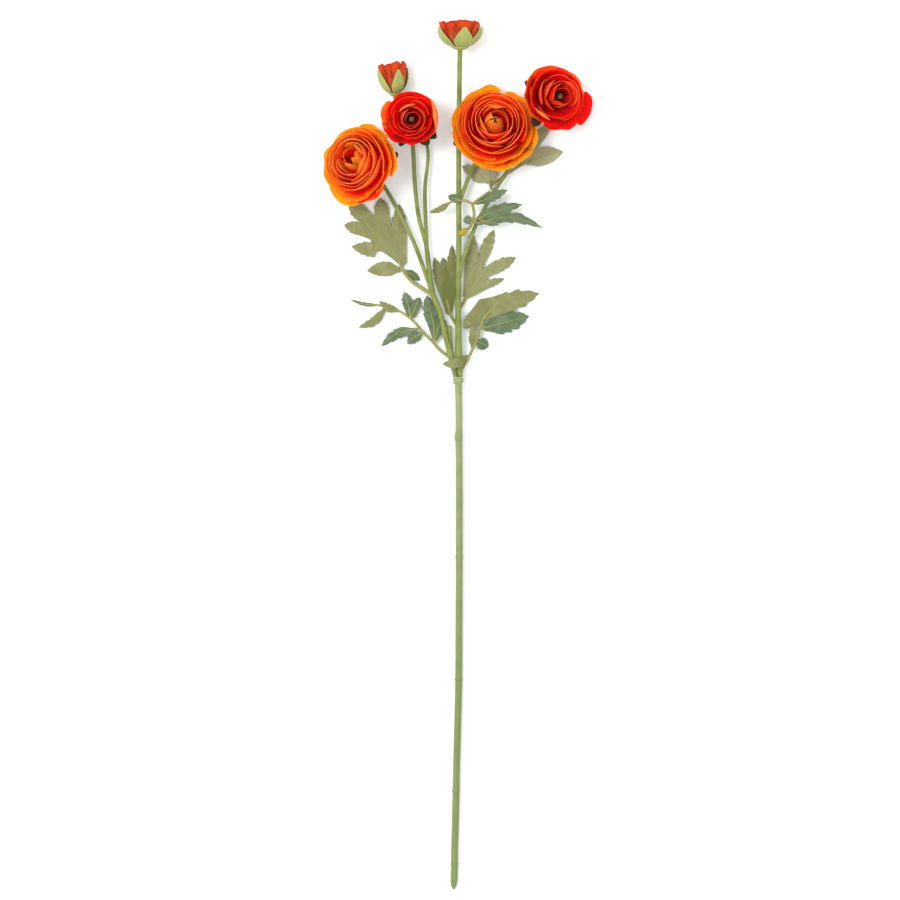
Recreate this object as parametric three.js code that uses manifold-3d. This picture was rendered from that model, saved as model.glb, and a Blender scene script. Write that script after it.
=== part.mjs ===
// A ranunculus spray of fabric and moulded plastic, lying on a flat surface and seen from above.
// One long stem carries four open blooms, two buds and seven cut leaves.
// Millimetres. +Y runs up the stem to the top bud, +X to the right, +Z away from the surface.
// Places along the spray are measured from the middle of its outline; the last lines
// move the whole spray so that its origin is the middle of its box, on the surface.
import * as THREE from "three";
import { mergeVertices } from "three/addons/utils/BufferGeometryUtils.js";
import Module from "manifold-3d";

const wasm = await Module();
wasm.setup();

// Driving dimensions
const gap = 0.3; // clearance between pieces that are pushed or glued together
const petalThickness = 0.7;
const sepalThickness = 0.8;
const leafThickness = 0.8;
const stemRadius = 2.7; // the long main stem
const sideStemRadius = 1.6; // the stems of the blooms
const collarRadius = 4.1; // socket ring at the fork
const collarBottom = 57.2;
const collarTop = 61.5;
const goldenAngle = THREE.MathUtils.degToRad(137.5);

// ---------------------------------------------------------------- solids

// A closed mesh as a solid; a mesh whose faces point inwards is turned round.
function solidFromFaces(positions, faces) {
  const geometry = new THREE.BufferGeometry();
  geometry.setAttribute("position", new THREE.Float32BufferAttribute(positions, 3));
  geometry.setIndex(faces);
  return solidFromGeometry(geometry);
}

function solidFromGeometry(geometry) {
  geometry.deleteAttribute("normal");
  geometry.deleteAttribute("uv");
  const merged = mergeVertices(geometry, 1e-4);
  const faces = withoutSlivers(merged.index.array);
  const make = (triVerts) =>
    new wasm.Manifold(
      new wasm.Mesh({
        numProp: 3,
        vertProperties: merged.attributes.position.array,
        triVerts: new Uint32Array(triVerts),
      }),
    );
  const solid = make(faces);
  return solid.volume() > 0 ? solid : make(faces.reverse());
}

// Leaves out triangles that lost a corner when their vertices were merged.
function withoutSlivers(index) {
  const kept = [];
  for (let i = 0; i < index.length; i += 3) {
    const [a, b, c] = index.slice(i, i + 3);
    if (a !== b && b !== c && c !== a) kept.push(a, b, c);
  }
  return kept;
}

// Joins solids into one body: a hollow sealed by the joining is filled, a loose scrap is dropped.
function fuse(solids) {
  const joined = solids.reduce((all, next) => all.add(next));
  return joined.decompose().reduce((a, b) => (a.volume() > b.volume() ? a : b));
}

function pieceMesh(name, solid, material) {
  const { vertProperties, triVerts } = solid.getMesh();
  const geometry = new THREE.BufferGeometry();
  geometry.setAttribute("position", new THREE.BufferAttribute(vertProperties, 3));
  geometry.setIndex(new THREE.BufferAttribute(triVerts, 1));
  geometry.computeVertexNormals();
  const mesh = new THREE.Mesh(geometry, material);
  mesh.name = name;
  return mesh;
}

// A thin sheet: both faces have the same triangles, and its open edges are closed by a narrow wall.
function thicken(points, triangles, offsets) {
  const count = points.length;
  const top = points.flatMap((point, i) => point.clone().add(offsets[i]).toArray());
  const bottom = points.flatMap((point, i) => point.clone().sub(offsets[i]).toArray());
  const faces = [];
  const openEdges = new Map();
  for (const [a, b, c] of triangles) {
    faces.push(a, b, c, c + count, b + count, a + count);
    for (const [from, to] of [[a, b], [b, c], [c, a]]) {
      if (!openEdges.delete(`${to} ${from}`)) openEdges.set(`${from} ${to}`, [from, to]);
    }
  }
  for (const [from, to] of openEdges.values()) {
    faces.push(to, from, from + count, to, from + count, to + count);
  }
  return solidFromFaces([...top, ...bottom], faces);
}

// A blade over a surface(across -1..1, along 0..1), split into a grid and thickened both ways.
function blade(surface, cellsAcross, cellsAlong, thickness) {
  const points = [];
  const offsets = [];
  const triangles = [];
  const step = 0.01;
  for (let row = 0; row <= cellsAlong; row += 1) {
    for (let column = 0; column <= cellsAcross; column += 1) {
      const across = (2 * column) / cellsAcross - 1;
      const along = row / cellsAlong;
      const sideways = surface(across + step, along).sub(surface(across - step, along));
      const forwards = surface(across, along + step).sub(surface(across, along - step));
      points.push(surface(across, along));
      offsets.push(sideways.cross(forwards).setLength(thickness / 2));
      if (row === cellsAlong || column === cellsAcross) continue;
      const corner = row * (cellsAcross + 1) + column;
      const above = corner + cellsAcross + 1;
      triangles.push([corner, corner + 1, above + 1], [corner, above + 1, above]);
    }
  }
  return thicken(points, triangles, offsets);
}

// A round stem through points [x, y, z, radius], closed at both ends.
function stem(route, sides, stepsPerPoint, extraRadius = 0) {
  const curve = new THREE.CatmullRomCurve3(route.map(([x, y, z]) => new THREE.Vector3(x, y, z)));
  const steps = (route.length - 1) * stepsPerPoint;
  const positions = [];
  const faces = [];
  for (let ring = 0; ring <= steps; ring += 1) {
    const along = ring / steps;
    const centre = curve.getPoint(along);
    const tangent = curve.getTangent(along);
    const across = new THREE.Vector3(tangent.y, -tangent.x, 0).normalize();
    const up = new THREE.Vector3().crossVectors(across, tangent);
    const place = along * (route.length - 1);
    const before = Math.min(Math.floor(place), route.length - 2);
    const radius = THREE.MathUtils.lerp(route[before][3], route[before + 1][3], place - before);
    for (let side = 0; side < sides; side += 1) {
      const angle = (2 * Math.PI * (side + 0.5)) / sides;
      const spoke = across.clone().multiplyScalar(Math.cos(angle));
      spoke.addScaledVector(up, Math.sin(angle)).multiplyScalar(radius + extraRadius);
      positions.push(...spoke.add(centre).toArray());
      if (ring === steps) continue;
      const here = ring * sides + side;
      const next = ring * sides + ((side + 1) % sides);
      faces.push(here, next, next + sides, here, next + sides, here + sides);
    }
  }
  for (let side = 1; side < sides - 1; side += 1) {
    const last = steps * sides;
    faces.push(0, side + 1, side, last, last + side, last + side + 1);
  }
  return solidFromFaces(positions, faces);
}

// A round solid about the local Z axis from a profile of [radius, height] points.
function turned(profile, sides) {
  const points = profile.map(([radius, height]) => new THREE.Vector2(radius, height));
  const geometry = new THREE.LatheGeometry(points, sides);
  geometry.rotateX(Math.PI / 2);
  return solidFromGeometry(geometry);
}

// Everything below the surface, cut away so that low pieces rest on a small flat.
const belowSurface = solidFromGeometry(new THREE.BoxGeometry(900, 900, 40).translate(0, 0, -20));

function seededRandom(seed) {
  let state = seed;
  return () => {
    state = (state * 16807) % 2147483647;
    return state / 2147483647;
  };
}

// ---------------------------------------------------------------- materials

const finish = (color, roughness) => new THREE.MeshStandardMaterial({ color, roughness, metalness: 0 });
const materials = {
  stemGreen: finish("#9fb070", 0.55),
  leafOlive: finish("#98986a", 0.85),
  leafTeal: finish("#6e8c73", 0.85),
  petalOrange: finish("#f4701a", 0.8),
  petalRed: finish("#d8140c", 0.8),
  petalBud: finish("#e1502c", 0.8),
  sepalGreen: finish("#b2b861", 0.6),
  sepalDark: finish("#3c3a22", 0.7),
  eye: finish("#8d9460", 0.8),
};

// ---------------------------------------------------------------- blooms

// The blooms: foot is where the petals spring from, lean is the way the face tips, in degrees
// and as a direction on the surface. turn sets where the first petal stands.
const blooms = [
  {
    name: "bloom_orange_left",
    color: "petalOrange",
    radius: 34,
    petals: 20,
    foot: [-74.5, 229.8, 15.4],
    lean: 29,
    leanWay: [-1, 0.25],
    turn: 40,
    sepalTurn: 20,
    seed: 11,
  },
  {
    name: "bloom_orange_right",
    color: "petalOrange",
    radius: 37,
    petals: 20,
    foot: [29.2, 257.6, 15],
    lean: 15,
    leanWay: [0, 1],
    turn: 122,
    sepalTurn: 190,
    seed: 23,
  },
  {
    name: "bloom_red_small",
    color: "petalRed",
    radius: 24.6,
    petals: 15,
    foot: [-37.8, 267.4, 23],
    lean: 8,
    leanWay: [-0.4, 0.9],
    turn: 100,
    sepalTurn: 254,
    seed: 37,
  },
  {
    name: "bloom_red_right",
    color: "petalRed",
    radius: 28.5,
    petals: 15,
    foot: [73, 284.2, 21],
    lean: 24,
    leanWay: [0.97, 0.24],
    turn: 345,
    sepalTurn: 236,
    seed: 41,
    spreadPetal: 0.24, // the first petal stands out past the others by this share of the radius
  },
];

const rimHeight = 0.3; // of the bloom's radius, for its outermost petals
const innerRim = 0.16; // of the bloom's radius, for its innermost petals
const coreTop = 0.3;

// The side view of one layer of petals, from the outermost (0) to the innermost (1).
function bloomLayer(radius, layer, rise) {
  const rim = THREE.MathUtils.lerp(1, innerRim, layer ** 1.15);
  const root = new THREE.Vector2(0.05, 0.03 * layer);
  const belly = new THREE.Vector2(0.82 * rim + 0.06 * layer, 0.01 + 0.12 * layer);
  const edge = new THREE.Vector2(rim, rimHeight + 1.15 * layer - 0.93 * layer * layer);
  const curve = new THREE.QuadraticBezierCurve(root, belly, edge);
  return curve.getPoint(rise).multiplyScalar(radius);
}

function roundTheAxis(side, angle) {
  return new THREE.Vector3(side.x * Math.cos(angle), side.x * Math.sin(angle), side.y);
}

function bloomPetals(bloom) {
  const random = seededRandom(bloom.seed);
  const firstAngle = THREE.MathUtils.degToRad(bloom.turn);
  const core = turned(
    [[0, 0], [0.22, 0], [0.36, 0.07], [0.38, 0.17], [0.28, 0.27], [0.13, coreTop], [0, coreTop]].map(
      ([radius, height]) => [radius * bloom.radius, height * bloom.radius],
    ),
    10,
  );
  const petals = [core];
  for (let i = 0; i < bloom.petals; i += 1) {
    const layer = i / (bloom.petals - 1);
    const angle = firstAngle + i * goldenAngle + 0.12 * (random() - 0.5);
    const halfAngle = THREE.MathUtils.degToRad(THREE.MathUtils.lerp(46, 60, layer));
    const wavePhase = 6 * random();
    const spread = i === 0 ? (bloom.spreadPetal ?? 0) * bloom.radius : 0;
    const root = THREE.MathUtils.lerp(0.12, 0.4, layer); // inside the core
    const cellsAlong = layer < 0.35 ? 3 : 2;
    const surface = (across, along) => {
      const rise = THREE.MathUtils.lerp(root, 1 - 0.16 * Math.abs(across) ** 3, along);
      const side = bloomLayer(bloom.radius, layer, rise);
      side.x += 0.35 * Math.sin(4 * across + wavePhase) * along * along;
      side.x += spread * THREE.MathUtils.smoothstep(along, 0.66, 1);
      return roundTheAxis(side, angle + across * halfAngle * (0.6 + 0.4 * along));
    };
    petals.push(blade(surface, 3, cellsAlong, petalThickness));
  }
  return fuse(petals);
}

// Five sepals under the bloom and the cup that joins them, with a socket for the stem.
// Heights are along the bloom's axis, from where the petals spring.
const cupTop = -0.8;
const cupDepth = 4.6;
const cupWall = 1.6;
const budCupDepth = 3;
const socketEnd = -2.3;
const socketLength = 8;
const socketClearance = 0.5; // round the stem, because both are faceted
const sepals = 5;
const sepalDrop = 1.9; // from the middle of the lowest petals to the middle of the sepals

// A cup that narrows from its rim to the neck where the stem goes in.
function calyxCup(rimRadius, neckRadius, depth) {
  const profile = [[0, 0], [rimRadius, 0], [rimRadius, 0.35 * depth], [neckRadius, depth], [0, depth]];
  return turned(
    profile.map(([radius, down]) => [radius, cupTop - down]),
    8,
  );
}

function stemSocket(radius, sides) {
  const hole = new THREE.CylinderGeometry(radius, radius, socketLength, sides);
  hole.rotateX(Math.PI / 2);
  hole.translate(0, 0, socketEnd - socketLength / 2);
  return solidFromGeometry(hole);
}

function bloomCalyx(bloom) {
  const parts = [calyxCup(0.24 * bloom.radius, sideStemRadius + cupWall, cupDepth)];
  for (let i = 0; i < sepals; i += 1) {
    const angle = THREE.MathUtils.degToRad(bloom.sepalTurn + (360 / sepals) * i);
    const fromFirstPetal = Math.cos(angle - THREE.MathUtils.degToRad(bloom.turn));
    const reach = bloom.spreadPetal && fromFirstPetal > 0.5 ? 0.62 : 0.8;
    const surface = (across, along) => {
      const rise = 0.08 + (reach - 0.03) * along * (1 - 0.12 * across * across);
      const side = bloomLayer(bloom.radius, 0, rise);
      const ahead = bloomLayer(bloom.radius, 0, rise + 0.01).sub(side).normalize();
      side.x += ahead.y * sepalDrop;
      side.y -= ahead.x * sepalDrop;
      const width = 0.05 + 0.25 * Math.sin(Math.PI * (0.12 + 0.82 * along));
      return roundTheAxis(side, angle + across * width);
    };
    parts.push(blade(surface, 2, 3, sepalThickness));
  }
  return fuse(parts).subtract(stemSocket(sideStemRadius + socketClearance, 6));
}

// The green eye stands on the core, inside the innermost petals.
const eyeHeight = 3.6;
const eyeClearance = 1.3; // to the rim of the innermost petals

function bloomEye(bloom) {
  const floor = coreTop * bloom.radius + gap;
  const radius = 0.94 * innerRim * bloom.radius - eyeClearance;
  const profile = [[0, 0], [0.8, 0], [1, 0.4], [0.8, 0.83], [0.3, 1], [0, 1]];
  return turned(
    profile.map(([share, height]) => [share * radius, floor + height * eyeHeight]),
    8,
  );
}

function leanAxis({ lean, leanWay }) {
  const angle = THREE.MathUtils.degToRad(lean);
  const way = new THREE.Vector3(leanWay[0], leanWay[1], 0).normalize();
  return way.multiplyScalar(Math.sin(angle)).add(new THREE.Vector3(0, 0, Math.cos(angle)));
}

function headGroup(head) {
  const group = new THREE.Group();
  group.position.set(...head.foot);
  group.quaternion.setFromUnitVectors(new THREE.Vector3(0, 0, 1), leanAxis(head));
  return group;
}

function bloomGroup(bloom) {
  const group = headGroup(bloom);
  group.add(
    pieceMesh(`${bloom.name}_petals`, bloomPetals(bloom), materials[bloom.color]),
    pieceMesh(`${bloom.name}_calyx`, bloomCalyx(bloom), materials.sepalDark),
    pieceMesh(`${bloom.name}_eye`, bloomEye(bloom), materials.eye),
  );
  return group;
}

// ---------------------------------------------------------------- buds

// The buds lie on their sides, so they lean almost 90 degrees.
const buds = [
  {
    name: "bud_top",
    radius: 16.6,
    height: 20.5,
    petals: 7,
    foot: [1.5, 326, 18.9],
    lean: 85,
    leanWay: [0, 1],
    turn: 150,
    sepalTurn: 36,
    sepalFlare: 0.2,
    seed: 5,
  },
  {
    name: "bud_side",
    radius: 10.8,
    height: 24.5,
    petals: 6,
    foot: [-50.6, 289.5, 12.8],
    lean: 84,
    leanWay: [-0.09, 1],
    turn: 110,
    sepalTurn: 25,
    sepalFlare: 0.3,
    seed: 9,
  },
];

function budLayer(bud, layer, rise) {
  const rim = THREE.MathUtils.lerp(1, 0.22, layer) * bud.radius;
  const root = new THREE.Vector2(0.1 * bud.radius, 0);
  const belly = new THREE.Vector2(1.08 * rim, (0.08 + 0.12 * layer) * bud.height);
  const edge = new THREE.Vector2(rim, bud.height * (0.93 + 0.07 * Math.sin(Math.PI * layer)));
  return new THREE.QuadraticBezierCurve(root, belly, edge).getPoint(rise);
}

function budPetals(bud) {
  const random = seededRandom(bud.seed);
  const core = turned(
    [[0, 0], [0.3, 0], [0.48, 0.12], [0.44, 0.34], [0.22, 0.5], [0, 0.54]].map(([radius, height]) => [
      radius * bud.radius,
      height * bud.height,
    ]),
    10,
  );
  const petals = [core];
  for (let i = 0; i < bud.petals; i += 1) {
    const layer = i / (bud.petals - 1);
    const angle = THREE.MathUtils.degToRad(bud.turn) + i * goldenAngle;
    const halfAngle = THREE.MathUtils.degToRad(THREE.MathUtils.lerp(44, 58, layer));
    const shorter = 0.12 * random();
    const surface = (across, along) => {
      const rise = along * (1 - shorter - 0.2 * Math.abs(across) ** 3);
      return roundTheAxis(budLayer(bud, layer, rise), angle + across * halfAngle * (0.6 + 0.4 * along));
    };
    petals.push(blade(surface, 3, 3, petalThickness));
  }
  return fuse(petals);
}

function budCalyx(bud, stemEndRadius) {
  const parts = [calyxCup(0.42 * bud.radius, stemEndRadius + 1.1, budCupDepth)];
  for (let i = 0; i < sepals; i += 1) {
    const angle = THREE.MathUtils.degToRad(bud.sepalTurn + (360 / sepals) * i);
    const surface = (across, along) => {
      const rise = 0.04 + 0.84 * along * (1 - 0.1 * across * across);
      const side = budLayer(bud, 0, rise);
      const ahead = budLayer(bud, 0, rise + 0.01).sub(side).normalize();
      const drop = 1.7 + bud.sepalFlare * along * along;
      side.x += ahead.y * drop;
      side.y -= ahead.x * drop;
      const width = 0.08 + 0.46 * Math.sin(Math.PI * (0.2 + 0.75 * along)) ** 0.8;
      return roundTheAxis(side, angle + across * width);
    };
    parts.push(blade(surface, 2, 3, sepalThickness));
  }
  return fuse(parts).subtract(stemSocket(stemEndRadius + socketClearance, 7));
}

// ---------------------------------------------------------------- stems

// The last two points of a route run straight into the socket of its bloom or bud.
function intoSocket(head, radius) {
  const foot = new THREE.Vector3(...head.foot);
  const axis = leanAxis(head);
  return [-6.4, socketEnd - gap].map((height) => [
    ...foot.clone().addScaledVector(axis, height).toArray(),
    radius,
  ]);
}

const [orangeLeft, orangeRight, redSmall, redRight] = blooms;
const [budTop, budSide] = buds;
const budTopStem = 1.9;
const budSideStem = 1.3;

// Stem routes are points [x, y, z, radius]. A low ring stands out at each joint of the moulding.
const ringHeight = 0.35;

function mouldedRing(x, y, z) {
  return [
    [x, y - 1.6, z, stemRadius],
    [x, y - 0.7, z, stemRadius + ringHeight],
    [x, y + 0.7, z, stemRadius + ringHeight],
    [x, y + 1.6, z, stemRadius],
  ];
}

const mainStemRoute = [
  [-3.5, -347.6, 1.8, 0.6],
  [-3.4, -344.6, 2.3, 2.1],
  [-3.2, -341, 2.5, stemRadius],
  ...mouldedRing(-2.9, -327, 2.55),
  ...mouldedRing(-1.6, -269, 2.9),
  ...mouldedRing(0.6, -180, 3.6),
  ...mouldedRing(1, -82, 4.5),
  [0.7, 9, 5.4, stemRadius],
  [0.4, 14, 5.5, stemRadius + 0.6], // a small swelling where a side shoot was trimmed
  [0.7, 19, 5.5, stemRadius],
  [0.3, collarBottom - 0.7, 6, stemRadius],
  [0.2, collarBottom, 6, collarRadius - 0.3],
  [0.2, collarBottom + 1, 6, collarRadius],
  [0.2, collarTop, 6, collarRadius],
];

const stemFoot = collarTop + gap;
const centreRoute = [
  [2, stemFoot, 6.9, 1.9],
  [1.4, 68, 7, 2.1],
  [0.6, 78, 7.1, 2.4],
  [0.2, 110, 7.4, 2.4],
  [0.6, 160, 8.6, 2.1],
  [0.6, 206, 10.6, 2],
  [0.6, 241, 13, 1.95],
  [1, 290, 16.6, budTopStem],
  ...intoSocket(budTop, budTopStem),
];

const orangeRightRoute = [
  [0.6, 198, 10.2, 1.4],
  [3.2, 207, 9.8, sideStemRadius],
  [8.9, 222, 8.2, sideStemRadius],
  [14.5, 233, 7, sideStemRadius],
  [21.5, 244, 5.6, sideStemRadius],
  [26.8, 251.6, 6.4, sideStemRadius],
  ...intoSocket(orangeRight, sideStemRadius),
];

const redRightRoute = [
  [0.5, 136, 8, 1.4],
  [1.8, 145, 8.3, sideStemRadius],
  [4.2, 156, 8.8, sideStemRadius],
  [13.8, 182, 9, sideStemRadius],
  [29.6, 211, 8, sideStemRadius],
  [40.7, 228, 7.2, sideStemRadius],
  [53, 248, 6, sideStemRadius],
  [63, 266, 4.4, sideStemRadius],
  [68.6, 277, 5.6, sideStemRadius],
  ...intoSocket(redRight, sideStemRadius),
];

const leftRoute = [
  [-2.2, stemFoot, 6.9, 1.6],
  [-3.4, 70, 7, 1.9],
  [-6.2, 81, 7.1, 2.1],
  [-10.5, 97, 7.2, 2.1],
  [-14.4, 114, 7.4, 2.1],
  [-19.6, 127, 7.6, 2.1],
  [-21.8, 138, 7.6, 1.9],
  [-24, 156.5, 7.8, 1.9],
  [-25.8, 169, 8, 1.7],
  [-31, 188, 8, sideStemRadius],
  [-34.1, 212, 7.8, sideStemRadius],
  [-36, 246, 6.6, sideStemRadius],
  [-37, 258, 6.4, sideStemRadius],
  ...intoSocket(redSmall, sideStemRadius),
];

const budSideRoute = [
  [-24.4, 160, 7.9, 1.4],
  [-25.4, 178, 7.9, 1.45],
  [-26.4, 212, 7.4, 1.45],
  [-24, 242, 5.6, budSideStem],
  [-29, 259, 4.4, budSideStem],
  [-41, 274, 5.8, budSideStem],
  ...intoSocket(budSide, budSideStem),
];

const orangeLeftRoute = [
  [-18.6, 123, 7.5, 1.4],
  [-22, 133, 7.7, sideStemRadius],
  [-35.6, 170, 7.8, sideStemRadius],
  [-46.6, 192, 7.2, sideStemRadius],
  [-57.7, 212, 4.6, sideStemRadius],
  [-66, 221.6, 1.5, sideStemRadius],
  [-71.4, 225.2, 4.4, sideStemRadius],
  ...intoSocket(orangeLeft, sideStemRadius),
];

// A cut-off stub beside the left branch, where the moulding was trimmed.
const stubRoute = [
  [-4.4, 76, 6.2, 1.4],
  [-6.2, 90, 5.6, 1.7],
  [-7, 103, 5.2, 1.5],
];

const stemSides = 8;
const sideStemSides = 6;
const mainStem = stem(mainStemRoute, 10, 1).subtract(belowSurface);
const branchCentre = fuse([
  stem(centreRoute, stemSides, 2),
  stem(orangeRightRoute, sideStemSides, 2),
  stem(redRightRoute, sideStemSides, 2),
]);
const branchLeft = fuse([
  stem(leftRoute, stemSides, 2),
  stem(budSideRoute, sideStemSides, 2),
  stem(orangeLeftRoute, sideStemSides, 2),
  stem(stubRoute, sideStemSides, 1),
]).subtract(belowSurface);

// The room that a leaf stalk keeps to the stem it is pushed on to.
const centreClearance = stem(centreRoute, stemSides, 2, gap);
const leftClearance = fuse([
  stem(leftRoute, stemSides, 2, gap),
  stem(orangeLeftRoute, sideStemSides, 2, gap),
  stem(stubRoute, sideStemSides, 1, gap),
]);
const redRightClearance = stem(redRightRoute, sideStemSides, 2, gap);

// ---------------------------------------------------------------- leaves

// A lobe [tip x, tip y, tip z, half width, sideways bow, upward arch] with its share of the leaf,
// which reaches from the leaf's foot to the notches on both sides of the lobe.
const lobeRows = [[0.32, 0.9], [0.64, 1], [0.86, 0.72]]; // share of the length, share of the half width
const lobeLap = 0.5; // by which a lobe runs into its neighbour
const lobeLift = 0.2; // of every second lobe, so that no two lie in one plane

function lobeBlade(foot, left, right, [x, y, z, halfWidth, bow = 0, arch = 0.6]) {
  const middle = left.clone().lerp(right, 0.5);
  const points = [foot, left, middle, right];
  const add = (point) => points.push(point) - 1;
  const axis = new THREE.Vector3(x, y, z).sub(middle);
  const side = new THREE.Vector3(-axis.y, axis.x, 0).normalize();
  const outwards = middle.clone().sub(foot);
  const toLeft = left.clone().sub(middle);
  if (outwards.x * toLeft.y - outwards.y * toLeft.x < 0) side.negate();
  let row = [1, 2, 3];
  const triangles = [[0, 1, 2], [0, 2, 3]];
  for (const [share, width] of lobeRows) {
    const centre = middle.clone().addScaledVector(axis, share);
    centre.addScaledVector(side, bow * Math.sin(Math.PI * share));
    centre.z += arch * Math.sin(Math.PI * share);
    const next = [
      add(centre.clone().addScaledVector(side, halfWidth * width)),
      add(centre),
      add(centre.clone().addScaledVector(side, -halfWidth * width)),
    ];
    for (const edge of [0, 1]) {
      triangles.push([row[edge], next[edge], next[edge + 1]], [row[edge], next[edge + 1], row[edge + 1]]);
    }
    row = next;
  }
  const tip = add(new THREE.Vector3(x, y, z));
  triangles.push([row[0], tip, row[1]], [row[1], tip, row[2]]);
  const offset = new THREE.Vector3(0, 0, leafThickness / 2);
  return thicken(points, triangles, points.map(() => offset));
}

// One flat piece of leaf: lobes spread from its foot, with a notch on each side of every lobe.
function leafBlade({ foot, notches, lobes }) {
  const start = new THREE.Vector3(...foot);
  const meanTip = lobes.reduce((sum, lobe) => sum + lobe[2], 0) / lobes.length;
  const longest = Math.max(...lobes.map(([x, y]) => Math.hypot(x - start.x, y - start.y)));
  const corners = notches.map(([x, y]) => {
    const share = Math.hypot(x - start.x, y - start.y) / longest;
    return new THREE.Vector3(x, y, THREE.MathUtils.lerp(start.z, meanTip, share));
  });
  return fuse(
    lobes.map((lobe, k) => {
      const lap = corners[k + 1].clone().sub(corners[k]).setLength(lobeLap);
      const lift = new THREE.Vector3(0, 0, k % 2 ? lobeLift : 0);
      const left = corners[k].clone().sub(lap).add(lift);
      const right = corners[k + 1].clone().add(lap).add(lift);
      return lobeBlade(start.clone().add(lift), left, right, lobe);
    }),
  );
}

// A plain leaflet: one lobe from its foot to its tip.
function leaflet(foot, tip, halfWidth, bow = 0, arch = 0.6) {
  const start = new THREE.Vector3(...foot);
  const axis = new THREE.Vector3(...tip).sub(start);
  const side = new THREE.Vector3(-axis.y, axis.x, 0).setLength(0.4 * halfWidth);
  const neck = start.clone().addScaledVector(axis, 0.1);
  const notches = [neck.clone().add(side), neck.clone().sub(side)];
  return leafBlade({
    foot,
    notches: notches.map(({ x, y }) => [x, y]),
    lobes: [[...tip, halfWidth, bow, arch]],
  });
}

const stalk = (...route) => stem(route, 6, 1);

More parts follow.
